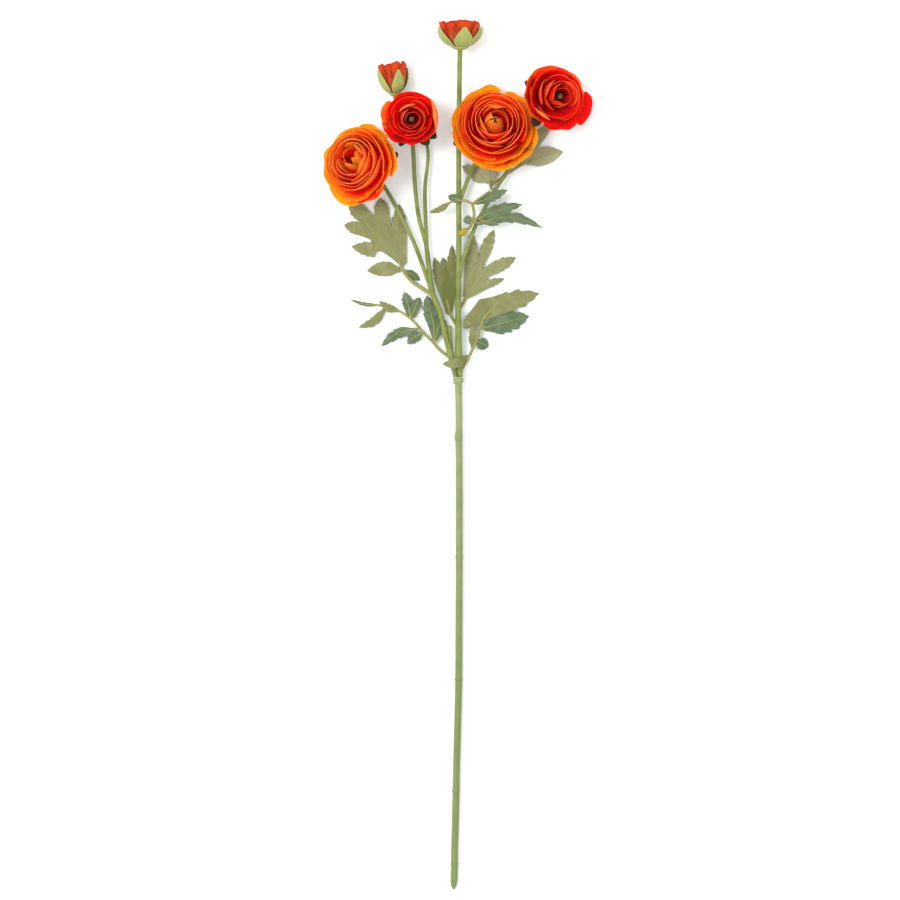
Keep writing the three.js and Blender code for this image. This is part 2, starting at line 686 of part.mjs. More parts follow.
const leaves = [
  {
    name: "leaf_left_upper",
    color: "leafOlive",
    carrier: leftClearance,
    parts: [
      stalk([-20.8, 127.6, 7.5, 1.2], [-29, 133, 6, 1.2], [-36.7, 138.4, 4.4, 1.2], [-43.7, 146.6, 3, 1.1],
        [-47.5, 156, 2.6, 0.8]),
      leafBlade({
        foot: [-45, 150.2, 2.8],
        notches: [[-47, 150.6], [-69, 171.5], [-79, 187], [-67, 191], [-53.5, 182.5], [-41, 153]],
        lobes: [
          [-85, 165.4, 0.6, 6.5],
          [-91, 183.6, 0.6, 5.2],
          [-87, 201, 1.2, 6.5],
          [-62, 205, 2, 6],
          [-47, 200, 2.4, 6.2],
        ],
      }),
      leaflet([-44.4, 148.6, 2.8], [-73, 149, 0.8], 7),
      leaflet([-44, 147.5, 3], [-30.5, 139.6, 1.4], 3.6),
    ],
  },
  {
    name: "leaf_left_lower",
    color: "leafTeal",
    carrier: leftClearance,
    parts: [
      stalk([-5.6, 77, 7, 1.3], [-14, 83, 6, 1.2], [-20, 89.5, 4.8, 1.1], [-29, 99, 4, 1.1],
        [-35, 106, 3.8, 1], [-44, 113, 3.6, 0.9], [-53, 117, 3.4, 0.8], [-64, 119.5, 3, 0.7]),
      leafBlade({
        foot: [-19, 88.6, 4.7],
        notches: [[-22, 97], [-16.4, 110], [-13, 96]],
        lobes: [[-25, 127, 2, 6], [-9.8, 107, 3.2, 4.4]],
      }),
      leafBlade({
        foot: [-38, 108.4, 3.7],
        notches: [[-41, 112], [-36.6, 120], [-33.6, 110]],
        lobes: [[-42.8, 130, 2, 4.2], [-30.8, 125.6, 2, 4]],
      }),
      leaflet([-31, 101.2, 4], [-61.4, 86.6, 1], 4.2, -3.4),
      leaflet([-27.8, 97.6, 4.2], [-40.6, 88.4, 1.2], 4.4, -1),
      leaflet([-56, 118, 3.3], [-79.7, 101.6, 1.6], 3.6, 3),
      leaflet([-61, 119.2, 3], [-86, 124, 2.2], 1.4, 1.6),
      leaflet([-46, 114, 3.6], [-63, 122.6, 4.6], 3.2, 1.4),
    ],
  },
  {
    name: "leaf_centre_left",
    color: "leafOlive",
    carrier: centreClearance,
    parts: [
      stalk([0.2, 101, 7.3, 1.2], [-2.8, 106, 4.8, 1.2], [-5.6, 111, 3.2, 1.1], [-9, 124, 2.6, 0.8]),
      leafBlade({
        foot: [-5.5, 110, 3.2],
        notches: [[-9.8, 113], [-14, 146], [-8.6, 149], [-1.6, 129]],
        lobes: [[-18.6, 157.4, 1.4, 4.2], [-11.8, 157.6, 1.6, 2.6], [-5, 167.4, 2, 3.6]],
      }),
    ],
  },
  {
    name: "leaf_centre_right",
    color: "leafOlive",
    carrier: centreClearance,
    parts: [
      stalk([0.4, 115, 7.4, 1.2], [3, 119, 4.4, 1.2], [6, 124.5, 2.6, 1.1], [11.6, 141, 2.2, 0.8]),
      leafBlade({
        foot: [6.2, 124, 2.5],
        notches: [[4.2, 127], [17, 161], [20, 149], [24, 142], [11, 126]],
        lobes: [
          [11, 178, 2.4, 5.4],
          [28.6, 179.4, 1, 4.8],
          [46.4, 157.6, 0.6, 5.2],
          [37, 140.6, 0.8, 3.2],
        ],
      }),
    ],
  },
  {
    name: "leaf_right_lower",
    color: "leafOlive",
    carrier: null,
    parts: [
      stalk([0.4, stemFoot, 3.7, 1.1], [0.6, 64.4, 3.7, 1.2], [3.4, 69, 4, 1.2], [6.4, 74, 5.6, 1.2],
        [10.2, 81, 6.2, 1.2], [16, 95, 5.2, 1.1], [20.8, 109, 4.2, 1], [32, 121, 3.6, 0.7]),
      leafBlade({
        foot: [19.6, 106, 4.1],
        notches: [[14.4, 101.6], [17, 124], [25.6, 108.6]],
        lobes: [[4.6, 101, 3.9, 5.4, 0, 0.2], [65, 129, 0.5, 8, 0, 1.4]],
      }),
      leaflet([18.4, 100.6, 4.3], [57, 110.6, 0.6], 8.6, 0, 0.4),
      leaflet([14.6, 90.6, 5.2], [24.4, 86.4, 1.4], 5, 0, 0.2),
      leaflet([11.6, 83.6, 5.8], [12.6, 105, 5.2], 3.4),
      leaflet([9, 78.8, 6.6], [-12.4, 72.4, 7.6], 4.4, 2.6, 4.4),
    ],
  },
  {
    name: "leaf_right_upper",
    color: "leafTeal",
    carrier: centreClearance,
    parts: [
      stalk([0.8, 175, 9.4, 1.6], [3.4, 177, 11.4, 2.6], [5.8, 178.6, 12.4, 2.4], [9.5, 181.5, 13, 1.2],
        [12.8, 191, 14, 1.1], [11.4, 200, 14.8, 1.1]),
      stalk([10.8, 199, 14.8, 1], [18, 205, 15, 0.9], [26, 210.4, 14.4, 0.7]),
      stalk([12, 199.6, 14.8, 1], [6, 202.4, 15, 0.9], [0.9, 202.6, 14.8, 0.8], [-8.5, 200.6, 13.8, 0.7]),
      leaflet([-5, 201.6, 14.2], [-22.6, 193.2, 11], 2.6, 1.2),
      leaflet([3, 202.6, 15], [-8, 206, 13.6], 3.6),
      leaflet([12.6, 199.6, 14.8], [39.4, 211, 12.4], 4.2),
      leaflet([12.2, 187, 13.8], [51.2, 199.6, 11], 4.8, 1.4),
      leaflet([12, 185, 13.6], [67, 181, 9.4], 4.4, 6.6),
      leaflet([17, 187.4, 13.6], [32.6, 183.4, 12.2], 2.8),
      leaflet([12, 188, 13.8], [4.2, 186.4, 12.9], 3.6, 0, 0.3),
    ],
  },
  {
    name: "leaf_right_back",
    color: "leafTeal",
    carrier: redRightClearance,
    parts: [
      stalk([29.4, 210.6, 8, 1.1], [26.6, 212.6, 5.6, 1.1], [26, 217, 3.2, 1.1], [26.4, 222, 2.6, 0.8]),
      stalk([26, 215, 3.8, 1], [36, 222, 2.6, 1], [50, 231, 2, 0.9], [64, 237, 1.6, 0.7]),
      leaflet([26.2, 217.6, 3], [3.4, 230.4, 1.2], 6.4, -1),
      leaflet([26.4, 216, 3.2], [23.6, 239, 1.6], 7),
      leaflet([52, 232, 2], [84, 242, 0.3], 8, 1.6),
      leaflet([46, 228.6, 2.2], [81, 262, 1.6], 5.8, 3.4),
    ],
  },
];

function leafSolid(leaf) {
  const whole = fuse(leaf.parts).subtract(belowSurface);
  return leaf.carrier ? fuse([whole.subtract(leaf.carrier)]) : whole;
}

// ---------------------------------------------------------------- the spray

const spray = new THREE.Group();
spray.add(
  pieceMesh("main_stem", mainStem, materials.stemGreen),
  pieceMesh("branch_centre", branchCentre, materials.stemGreen),
  pieceMesh("branch_left", branchLeft, materials.stemGreen),
);
for (const leaf of leaves) {
  spray.add(pieceMesh(leaf.name, leafSolid(leaf), materials[leaf.color]));
}
for (const bloom of blooms) {
  spray.add(bloomGroup(bloom));
}
for (const bud of buds) {
  const group = headGroup(bud);
  const stemEndRadius = bud === budTop ? budTopStem : budSideStem;
  group.add(
    pieceMesh(`${bud.name}_petals`, budPetals(bud), materials.petalBud),
    pieceMesh(`${bud.name}_calyx`, budCalyx(bud, stemEndRadius), materials.sepalGreen),
  );
  spray.add(group);
}

const box = new THREE.Box3().setFromObject(spray, true);
const middle = box.getCenter(new THREE.Vector3());
spray.position.set(-middle.x, -middle.y, -box.min.z);

export default spray;
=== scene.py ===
# A ranunculus spray of dyed cloth and moulded plastic, lying on a pale table and seen from above.
# Lengths are in millimetres and places are measured along the spray, from the middle of its
# outline. to_frame turns them into the frame's metres when a mesh is made.
import math
import random

import bpy
import numpy as np
from mathutils import Matrix, Vector


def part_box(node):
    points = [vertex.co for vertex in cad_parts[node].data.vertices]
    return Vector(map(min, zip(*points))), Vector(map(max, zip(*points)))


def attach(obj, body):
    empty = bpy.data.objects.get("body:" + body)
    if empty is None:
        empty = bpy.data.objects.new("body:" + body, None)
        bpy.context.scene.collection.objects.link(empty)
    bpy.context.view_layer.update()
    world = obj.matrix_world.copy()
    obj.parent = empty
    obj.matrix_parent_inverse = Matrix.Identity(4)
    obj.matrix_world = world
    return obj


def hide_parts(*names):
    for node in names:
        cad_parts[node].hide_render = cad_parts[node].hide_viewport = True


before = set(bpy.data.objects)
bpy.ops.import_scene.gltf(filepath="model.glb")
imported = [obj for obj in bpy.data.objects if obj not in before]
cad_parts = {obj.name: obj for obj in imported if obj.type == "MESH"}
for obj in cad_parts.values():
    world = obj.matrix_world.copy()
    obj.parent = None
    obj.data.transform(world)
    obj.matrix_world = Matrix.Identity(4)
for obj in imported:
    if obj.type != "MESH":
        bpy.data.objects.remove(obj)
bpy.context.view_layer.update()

# ---------------------------------------------------------------- camera
# The photo looks straight down on the spray through a long lens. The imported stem's collar tells
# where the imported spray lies. It has ten flat sides, and one of them is the furthest right.

collar_x = 0.2
collar_radius = 4.1
collar_top = 61.5
collar_right = collar_x + collar_radius * math.cos(math.pi / 10)
collar_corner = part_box("main_stem")[1] * 1000
spray_shift = Vector((collar_corner.x - collar_right, collar_corner.y - collar_top, 0))
to_frame = Matrix.Scale(0.001, 4) @ Matrix.Translation(spray_shift)

view_middle = Vector((-6.4, 3.6, 0))
view_width = 720
lens, film = 240, 36

camera = bpy.data.objects.new("camera", bpy.data.cameras.new("camera"))
camera.data.lens = lens
camera.data.sensor_width = film
camera.location = to_frame @ (view_middle + Vector((0, 0, view_width * lens / film)))
bpy.context.scene.collection.objects.link(camera)
bpy.context.scene.camera = camera
bpy.context.scene.view_settings.view_transform = "Standard"

# ---------------------------------------------------------------- table and light
# A plain white table under a large soft light from the upper left, which leaves close soft
# shadows to the right of each piece.

light_power = 15.5
sky_strength = 1.24
table_size = 8
table_colour = (0.92, 0.97, 0.965, 1)
table_mesh = bpy.data.meshes.new("table")
corner = table_size / 2
table_mesh.from_pydata(
    [(-corner, -corner, 0), (corner, -corner, 0), (corner, corner, 0), (-corner, corner, 0)],
    [],
    [(0, 1, 2, 3)],
)
table = bpy.data.objects.new("table", table_mesh)
bpy.context.scene.collection.objects.link(table)
table_paint = bpy.data.materials.new("table paint")
table_paint.use_nodes = True
table_shader = table_paint.node_tree.nodes["Principled BSDF"]
table_shader.inputs["Base Color"].default_value = table_colour
table_shader.inputs["Roughness"].default_value = 0.9
table_mesh.materials.append(table_paint)

world = bpy.data.worlds.new("studio")
world.use_nodes = True
background = world.node_tree.nodes["Background"]
background.inputs["Color"].default_value = (1, 1, 1, 1)
background.inputs["Strength"].default_value = sky_strength
bpy.context.scene.world = world

soft_light = bpy.data.objects.new("soft light", bpy.data.lights.new("soft light", "AREA"))
soft_light.data.shape = "DISK"
soft_light.data.size = 0.8
soft_light.data.energy = light_power
soft_light.location = (-0.8, 0.45, 1.5)
soft_light.rotation_euler = (-soft_light.location).to_track_quat("-Z", "Y").to_euler()
bpy.context.scene.collection.objects.link(soft_light)

# ---------------------------------------------------------------- main stem
# One long stem of soft plastic moulded over a wire. It has a fine flash line along both sides,
# a low ring at each joint of the mould, a cut tip and a socket collar at the fork.

stem_radius = 2.7
collar_bottom = 57.2
ring_height = 0.35
swelling_height = 0.6


def moulded_ring(x, y, z):
    heights = ((-1.6, 0), (-0.7, ring_height), (0.7, ring_height), (1.6, 0))
    return [(x, y + step, z, stem_radius + height) for step, height in heights]


# each point of a route is x, y, z and the stem's radius there
main_stem_route = [
    (-3.5, -347.6, 1.8, 0.6),
    (-3.4, -344.6, 2.3, 2.1),
    (-3.2, -341, 2.74, stem_radius),
    *moulded_ring(-2.9, -327, 3.08),
    *moulded_ring(-1.6, -269, 3.12),
    *moulded_ring(0.6, -180, 3.6),
    *moulded_ring(1, -82, 4.5),
    (0.7, 9, 5.4, stem_radius),
    (0.4, 14, 5.5, stem_radius + swelling_height),
    (0.7, 19, 5.5, stem_radius),
    (0.3, collar_bottom - 0.7, 6, stem_radius),
    (collar_x, collar_bottom, 6, collar_radius - 0.3),
    (collar_x, collar_bottom + 1, 6, collar_radius),
    (collar_x, collar_top, 6, collar_radius),
]


class Term:
    """A number in a node tree. Sums, products and the functions below add Math nodes to the tree."""

    def __init__(self, tree, socket):
        self.tree = tree
        self.socket = socket

    def by(self, operation, *others):
        node = self.tree.nodes.new("ShaderNodeMath")
        node.operation = operation
        for socket, value in zip(node.inputs, (self, *others)):
            feed(self.tree, socket, value)
        return Term(self.tree, node.outputs[0])

    def __add__(self, other):
        return self.by("ADD", other)

    def __sub__(self, other):
        return self.by("SUBTRACT", other)

    def __mul__(self, other):
        return self.by("MULTIPLY", other)

    def __truediv__(self, other):
        return self.by("DIVIDE", other)

    def __pow__(self, other):
        return self.by("POWER", other)

    def __rsub__(self, other):
        return self * -1 + other

    __radd__ = __add__
    __rmul__ = __mul__


def feed(tree, socket, value):
    if isinstance(value, Term):
        tree.links.new(value.socket, socket)
    elif isinstance(value, bpy.types.NodeSocket):
        tree.links.new(value, socket)
    else:
        socket.default_value = value


def between(low, high, share):
    return share * (high - low) + low


def smooth_step(value, low, high):
    """0 below low, 1 above high, and a smooth rise between them."""
    node = value.tree.nodes.new("ShaderNodeMapRange")
    node.interpolation_type = "SMOOTHSTEP"
    feed(value.tree, node.inputs["Value"], value)
    feed(value.tree, node.inputs["From Min"], low)
    feed(value.tree, node.inputs["From Max"], high)
    return Term(value.tree, node.outputs["Result"])


def add_node(tree, kind, inputs=None, **settings):
    node = tree.nodes.new(kind)
    for name, value in settings.items():
        setattr(node, name, value)
    for name, value in (inputs or {}).items():
        feed(tree, node.inputs[name], value)
    return node


def new_tree(name, kind, inputs, outputs):
    """An empty node tree with named sockets: (name, socket type, default)."""
    tree = bpy.data.node_groups.new(name, kind)
    for label, socket_type, default in inputs:
        socket = tree.interface.new_socket(label, in_out="INPUT", socket_type=socket_type)
        if default is not None:
            socket.default_value = default
    for label, socket_type in outputs:
        tree.interface.new_socket(label, in_out="OUTPUT", socket_type=socket_type)
    return tree, tree.nodes.new("NodeGroupInput").outputs, tree.nodes.new("NodeGroupOutput").inputs


def named(tree, name):
    node = add_node(tree, "GeometryNodeInputNamedAttribute", {"Name": name}, data_type="FLOAT")
    return node.outputs["Attribute"]


def stored(tree, geometry, name, value, kind="FLOAT"):
    inputs = {"Geometry": geometry, "Name": name, "Value": value}
    return add_node(tree, "GeometryNodeStoreNamedAttribute", inputs, data_type=kind).outputs[0]


def tube_tree():
    """Sweeps a ring of points along each route and raises the two flash lines of the mould."""
    tree, given, result = new_tree(
        "moulded tube",
        "GeometryNodeTree",
        [
            ("Routes", "NodeSocketGeometry", None),
            ("Sides", "NodeSocketInt", 24),
            ("Flash height", "NodeSocketFloat", 0.1),
            ("Ripple height", "NodeSocketFloat", 0.12),
            ("Ripple size", "NodeSocketFloat", 0.09),
            ("Material", "NodeSocketMaterial", None),
        ],
        [("Tube", "NodeSocketGeometry")],
    )
    curves = add_node(tree, "GeometryNodeMeshToCurve", {"Mesh": given["Routes"]}).outputs[0]
    ring = add_node(tree, "GeometryNodeCurvePrimitiveCircle", {"Resolution": given["Sides"], "Radius": 1})
    place = Term(tree, add_node(tree, "GeometryNodeInputIndex").outputs[0]) / Term(tree, given["Sides"])
    ring = stored(tree, ring.outputs[0], "round", place)
    tube = add_node(
        tree,
        "GeometryNodeCurveToMesh",
        {"Curve": curves, "Profile Curve": ring, "Scale": named(tree, "thick"), "Fill Caps": True},
    ).outputs[0]
    # the two flash lines lie where the mould's halves meet, half a turn apart
    round_place = Term(tree, named(tree, "round"))
    on_flash = (round_place * (4 * math.pi)).by("COSINE").by("GREATER_THAN", 0.995)
    flash = on_flash * Term(tree, given["Flash height"])
    noise = add_node(tree, "ShaderNodeTexNoise", {"Scale": given["Ripple size"], "Detail": 1.0})
    ripple = (Term(tree, noise.outputs[0]) - 0.5) * Term(tree, given["Ripple height"])
    normal = add_node(tree, "GeometryNodeInputNormal").outputs[0]
    out = add_node(tree, "ShaderNodeVectorMath", {0: normal, "Scale": flash + ripple}, operation="SCALE")
    tube = add_node(tree, "GeometryNodeSetPosition", {"Geometry": tube, "Offset": out.outputs[0]}).outputs[0]
    tube = add_node(tree, "GeometryNodeSetShadeSmooth", {"Geometry": tube}).outputs[0]
    tube = add_node(tree, "GeometryNodeRealizeInstances", {"Geometry": tube}).outputs[0]
    inputs = {"Geometry": tube, "Material": given["Material"]}
    feed(tree, result["Tube"], add_node(tree, "GeometryNodeSetMaterial", inputs).outputs[0])
    return tree


def smooth_route(route, steps):
    """Points [x, y, z, radius] along a smooth curve through the route's points."""
    knots = np.array(route, float)[:, :3]
    knots = np.vstack([2 * knots[0] - knots[1], knots, 2 * knots[-1] - knots[-2]])
    places = []
    for i in range(len(route) - 1):
        p0, p1, p2, p3 = knots[i : i + 4]
        gaps = [max(np.linalg.norm(b - a) ** 0.5, 1e-4) for a, b in ((p0, p1), (p1, p2), (p2, p3))]
        leave = (p1 - p0) / gaps[0] - (p2 - p0) / (gaps[0] + gaps[1]) + (p2 - p1) / gaps[1]
        arrive = (p2 - p1) / gaps[1] - (p3 - p1) / (gaps[1] + gaps[2]) + (p3 - p2) / gaps[2]
        leave, arrive = leave * gaps[1], arrive * gaps[1]
        last = i == len(route) - 2
        for t in np.linspace(0, 1, steps + 1)[: steps + 1 if last else steps]:
            bend = (2 * p1 - 2 * p2 + leave + arrive) * t**3 + (3 * p2 - 3 * p1 - 2 * leave - arrive) * t**2
            radius = route[i][3] + (route[i + 1][3] - route[i][3]) * t
            places.append([*(bend + leave * t + p1), radius])
    return places


def evaluated_mesh(start, tree, name, **sizes):
    """Runs a Geometry Nodes tree on a mesh and returns the result as a plain mesh. Each of the
    sizes sets the tree's input of that name."""
    holder = bpy.data.objects.new(name, start)
    bpy.context.scene.collection.objects.link(holder)
    modifier = holder.modifiers.new(name, "NODES")
    modifier.node_group = tree
    sockets = {item.name: item.identifier for item in tree.interface.items_tree if item.in_out == "INPUT"}
    for label, value in sizes.items():
        modifier[sockets[label.replace("_", " ").capitalize()]] = value
    graph = bpy.context.evaluated_depsgraph_get()
    mesh = bpy.data.meshes.new_from_object(holder.evaluated_get(graph), depsgraph=graph)
    bpy.data.objects.remove(holder)
    bpy.data.meshes.remove(start)
    mesh.name = name
    return mesh


def finished_piece(name, mesh, local=None):
    """Puts a mesh drawn in millimetres into the frame, as an object at the origin."""
    mesh.transform(to_frame @ (local or Matrix.Identity(4)))
    piece = bpy.data.objects.new(name, mesh)
    bpy.context.scene.collection.objects.link(piece)
    return piece


moulded_tube = tube_tree()


def tubes(name, routes, material, steps=6, sides=20, flash_height=0.06):
    """One mesh of closed tubes, one along each route."""
    points, edges, radii = [], [], []
    for route in routes:
        start = len(points)
        for x, y, z, radius in smooth_route(route, steps):
            points.append((x, y, z))
            radii.append(radius)
        edges += [(i, i + 1) for i in range(start, len(points) - 1)]
    lines = bpy.data.meshes.new(name)
    lines.from_pydata(points, edges, [])
    lines.attributes.new("thick", "FLOAT", "POINT").data.foreach_set("value", radii)
    return evaluated_mesh(
        lines, moulded_tube, name, sides=sides, flash_height=flash_height, material=material
    )


def plastic_grain_group():
    """Mottling, streaks along the stem and a fine grain, all from the place on the object."""
    tree, given, result = new_tree(
        "plastic grain",
        "ShaderNodeTree",
        [("Blotch size", "NodeSocketFloat", 90), ("Streak size", "NodeSocketFloat", 700)],
        [("Blotch", "NodeSocketFloat"), ("Streak", "NodeSocketFloat"), ("Grain", "NodeSocketFloat")],
    )
    place = add_node(tree, "ShaderNodeTexCoord").outputs["Object"]
    inputs = {"Vector": place, "Scale": given["Blotch size"], "Detail": 3.0}
    blotch = add_node(tree, "ShaderNodeTexNoise", inputs)
    stretched = add_node(tree, "ShaderNodeMapping", {"Vector": place, "Scale": (1, 0.05, 1)})
    inputs = {"Vector": stretched.outputs[0], "Scale": given["Streak size"], "Detail": 2.0}
    streak = add_node(tree, "ShaderNodeTexNoise", inputs)
    grain = add_node(tree, "ShaderNodeTexNoise", {"Vector": place, "Scale": 2600.0, "Detail": 2.0})
    for label, node in (("Blotch", blotch), ("Streak", streak), ("Grain", grain)):
        feed(tree, result[label], node.outputs[0])
    return tree


plastic_grain = plastic_grain_group()


def mixed(tree, share, low, high, blend="MIX"):
    node = add_node(tree, "ShaderNodeMix", data_type="RGBA", blend_type=blend, clamp_factor=True)
    feed(tree, node.inputs[0], share)
    feed(tree, node.inputs[6], low)
    feed(tree, node.inputs[7], high)
    return node.outputs[2]


def bumped(tree, height, strength, distance):
    inputs = {"Height": height, "Strength": strength, "Distance": distance * 0.001}
    return add_node(tree, "ShaderNodeBump", inputs).outputs[0]


def new_material(name, roughness, reflection, sheen=0.0):
    """A material with its Principled shader, whose constants are set on its own sockets."""
    material = bpy.data.materials.new(name)
    material.use_nodes = True
    shader = material.node_tree.nodes["Principled BSDF"]
    shader.inputs["Roughness"].default_value = roughness
    shader.inputs["Specular IOR Level"].default_value = reflection
    shader.inputs["Sheen Weight"].default_value = sheen
    return material, material.node_tree, shader


light_level = 1.4  # how much brighter than white a white surface in this scene would be


def dye(red, green, blue):
    """A screen colour, 0 to 255, as the linear colour of a shader."""
    return tuple(((c / 255 + 0.055) / 1.055) ** 2.4 for c in (red, green, blue)) + (1,)


def srgb(red, green, blue):
    """A colour as it looks in the photo, 0 to 255, as the colour that a shader needs for it."""
    return tuple(c / light_level for c in dye(red, green, blue)[:3]) + (1,)


def moulded_plastic(name, light, dark, low):
    """Soft plastic: light and dark greens in blotches, and a deeper green towards the cut end."""
    material, tree, shader = new_material(name, 0.5, 0.35)
    shader.inputs["Subsurface Weight"].default_value = 0.08
    shader.inputs["Subsurface Radius"].default_value = (0.0012, 0.0016, 0.0005)
    shader.inputs["Subsurface Scale"].default_value = 1
    grain = add_node(tree, "ShaderNodeGroup", node_tree=plastic_grain).outputs
    colour = mixed(tree, smooth_step(Term(tree, grain["Blotch"]), 0.35, 0.7), srgb(*light), srgb(*dark))
    place = add_node(tree, "ShaderNodeTexCoord").outputs["Object"]
    up = Term(tree, add_node(tree, "ShaderNodeSeparateXYZ", {0: place}).outputs["Y"])
    lower = smooth_step(0.12 - up, 0, 0.3) * 0.6
    colour = mixed(tree, lower, colour, srgb(*low))
    streak = smooth_step(Term(tree, grain["Streak"]), 0.4, 0.75) * 0.25
    colour = mixed(tree, streak, colour, srgb(*(c * 0.82 for c in low)))
    feed(tree, shader.inputs["Base Color"], colour)
    feed(tree, shader.inputs["Roughness"], between(0.42, 0.6, Term(tree, grain["Streak"])))
    relief = Term(tree, grain["Grain"]) * 0.4 + Term(tree, grain["Streak"])
    feed(tree, shader.inputs["Normal"], bumped(tree, relief, 0.35, 0.12))
    return material


stem_plastic = moulded_plastic("stem plastic", (166, 178, 122), (152, 166, 106), (112, 136, 60))

main_stem_mesh = tubes("main_stem_plastic", [main_stem_route], stem_plastic, sides=32, flash_height=0.1)
main_stem = finished_piece("main_stem_plastic", main_stem_mesh)
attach(main_stem, "root")
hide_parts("main_stem")

# ---------------------------------------------------------------- branches
# Two mouldings stand in the collar: the centre one carries the top bud and the two blooms on
# the right, the left one the small red bloom, the left orange one and the side bud.

side_stem_radius = 1.6
# along the axis of a bloom or bud: where its stem turns straight, and where its socket ends
straight_from = -6.4
socket_end = -2.3
gap = 0.3  # between pieces that are pushed or glued together

# the blooms and buds: where the petals start, and how far and which way their axis leans, in degrees
heads = {
    "bloom_orange_left": {
        "radius": 34,
        "foot": (-74.5, 229.8, 15.4),
        "lean": 29,
        "lean_way": (-1, 0.25),
    },
    "bloom_orange_right": {
        "radius": 37,
        "foot": (29.2, 257.6, 15),
        "lean": 15,
        "lean_way": (0, 1),
    },
    "bloom_red_small": {
        "radius": 24.6,
        "foot": (-37.8, 267.4, 23),
        "lean": 8,
        "lean_way": (-0.4, 0.9),
    },
    "bloom_red_right": {
        "radius": 28.5,
        "foot": (73, 284.2, 21),
        "lean": 24,
        "lean_way": (0.97, 0.24),
    },
    "bud_top": {
        "radius": 16.6,
        "foot": (1.5, 326, 18.9),
        "lean": 85,
        "lean_way": (0, 1),
    },
    "bud_side": {
        "radius": 10.8,
        "foot": (-50.6, 289.5, 12.8),
        "lean": 84,
        "lean_way": (-0.09, 1),
    },
}


def lean_axis(head):
    angle = math.radians(head["lean"])
    way = Vector((*head["lean_way"], 0)).normalized()
    return way * math.sin(angle) + Vector((0, 0, math.cos(angle)))


def into_socket(head, radius):
    foot, axis = Vector(head["foot"]), lean_axis(head)
    return [(*(foot + axis * height), radius) for height in (straight_from, socket_end - gap)]


bud_top_stem = 1.9
bud_side_stem = 1.3
stem_foot = collar_top + gap

centre_routes = [
    [
        (2, stem_foot, 6.9, 1.9),
        (1.4, 67, 7, 2.5),
        (0.8, 75, 7.1, 3.1),
        (0.5, 84, 7.2, 2.7),
        (0.2, 110, 7.4, 2.4),
        (0.6, 160, 8.6, 2.1),
        (0.6, 206, 10.6, 2),
        (0.6, 241, 13, 1.95),
        (1, 290, 16.6, bud_top_stem),
        *into_socket(heads["bud_top"], bud_top_stem),
    ],
    [
        (0.6, 198, 10.2, 1.4),
        (3.2, 207, 9.8, side_stem_radius),
        (8.9, 222, 8.2, side_stem_radius),
        (14.5, 233, 7, side_stem_radius),
        (21.5, 244, 5.6, side_stem_radius),
        (26.8, 251.6, 6.4, side_stem_radius),
        *into_socket(heads["bloom_orange_right"], side_stem_radius),
    ],
    [
        (0.5, 136, 8, 1.4),
        (1.8, 145, 8.3, side_stem_radius),
        (4.2, 156, 8.8, side_stem_radius),
        (13.8, 182, 9, side_stem_radius),
        (29.6, 211, 8, side_stem_radius),
        (40.7, 228, 7.2, side_stem_radius),
        (53, 248, 6, side_stem_radius),
        (63, 266, 4.4, side_stem_radius),
        (68.6, 277, 5.6, side_stem_radius),
        *into_socket(heads["bloom_red_right"], side_stem_radius),
    ],
]

left_routes = [
    [
        (-2.2, stem_foot, 6.9, 1.6),
        (-3.2, 69, 7, 2.3),
        (-5.8, 80, 7.1, 2.6),
        (-10.5, 97, 7.2, 2.1),
        (-14.4, 114, 7.4, 2.1),
        (-19.6, 127, 7.6, 2.1),
        (-21.8, 138, 7.6, 1.9),
        (-24, 156.5, 7.8, 1.9),
        (-25.8, 169, 8, 1.7),
        (-31, 188, 8, side_stem_radius),
        (-34.1, 212, 7.8, side_stem_radius),
        (-36, 246, 6.6, side_stem_radius),
        (-37, 258, 6.4, side_stem_radius),
        *into_socket(heads["bloom_red_small"], side_stem_radius),
    ],
    [
        (-24.4, 160, 7.9, 1.4),
        (-25.4, 178, 7.9, 1.45),
        (-26.4, 212, 7.4, 1.45),
        (-24, 242, 5.6, bud_side_stem),
        (-29, 259, 4.4, bud_side_stem),
        (-41, 274, 5.8, bud_side_stem),
        *into_socket(heads["bud_side"], bud_side_stem),
    ],
    [
        (-18.6, 123, 7.5, 1.4),
        (-22, 133, 7.7, side_stem_radius),
        (-35.6, 170, 7.8, side_stem_radius),
        (-46.6, 192, 7.2, side_stem_radius),
        (-57.7, 212, 4.6, side_stem_radius),
        (-66, 221.6, 1.8, side_stem_radius),
        (-71.4, 225.2, 4.4, side_stem_radius),
        *into_socket(heads["bloom_orange_left"], side_stem_radius),
    ],
    [
        (-4.4, 76, 6.2, 1.4),
        (-6.2, 90, 5.6, 1.7),
        (-7, 103, 5.2, 1.5),
    ],
]

branch_plastic = moulded_plastic("branch plastic", (146, 158, 80), (118, 134, 50), (108, 124, 40))
for side, routes in (("centre", centre_routes), ("left", left_routes)):
    branch_mesh = tubes(f"branch_{side}_plastic", routes, branch_plastic)
    branch = finished_piece(f"branch_{side}_plastic", branch_mesh)
    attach(branch, "root")
    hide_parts(f"branch_{side}")

# ---------------------------------------------------------------- leaves
# Stiffened cloth cut into toothed lobes and glued to a moulded stalk. The upper side is printed
# teal green with pale veins, and the underside is a flat olive. Some leaves lie face down.

leaf_thickness = 0.45
leaf_clearance = 0.3  # between the table and the middle of a leaf's cloth
lobe_teeth = (4.4, 4.4 * 1.24)  # along a lobe's left and right side
rib_radii = (0.75, 0.62, 0.5, 0.38, 0.28, 0.18)
OLIVE, TEAL = 0.0, 1.0  # the side of a leaf that faces up


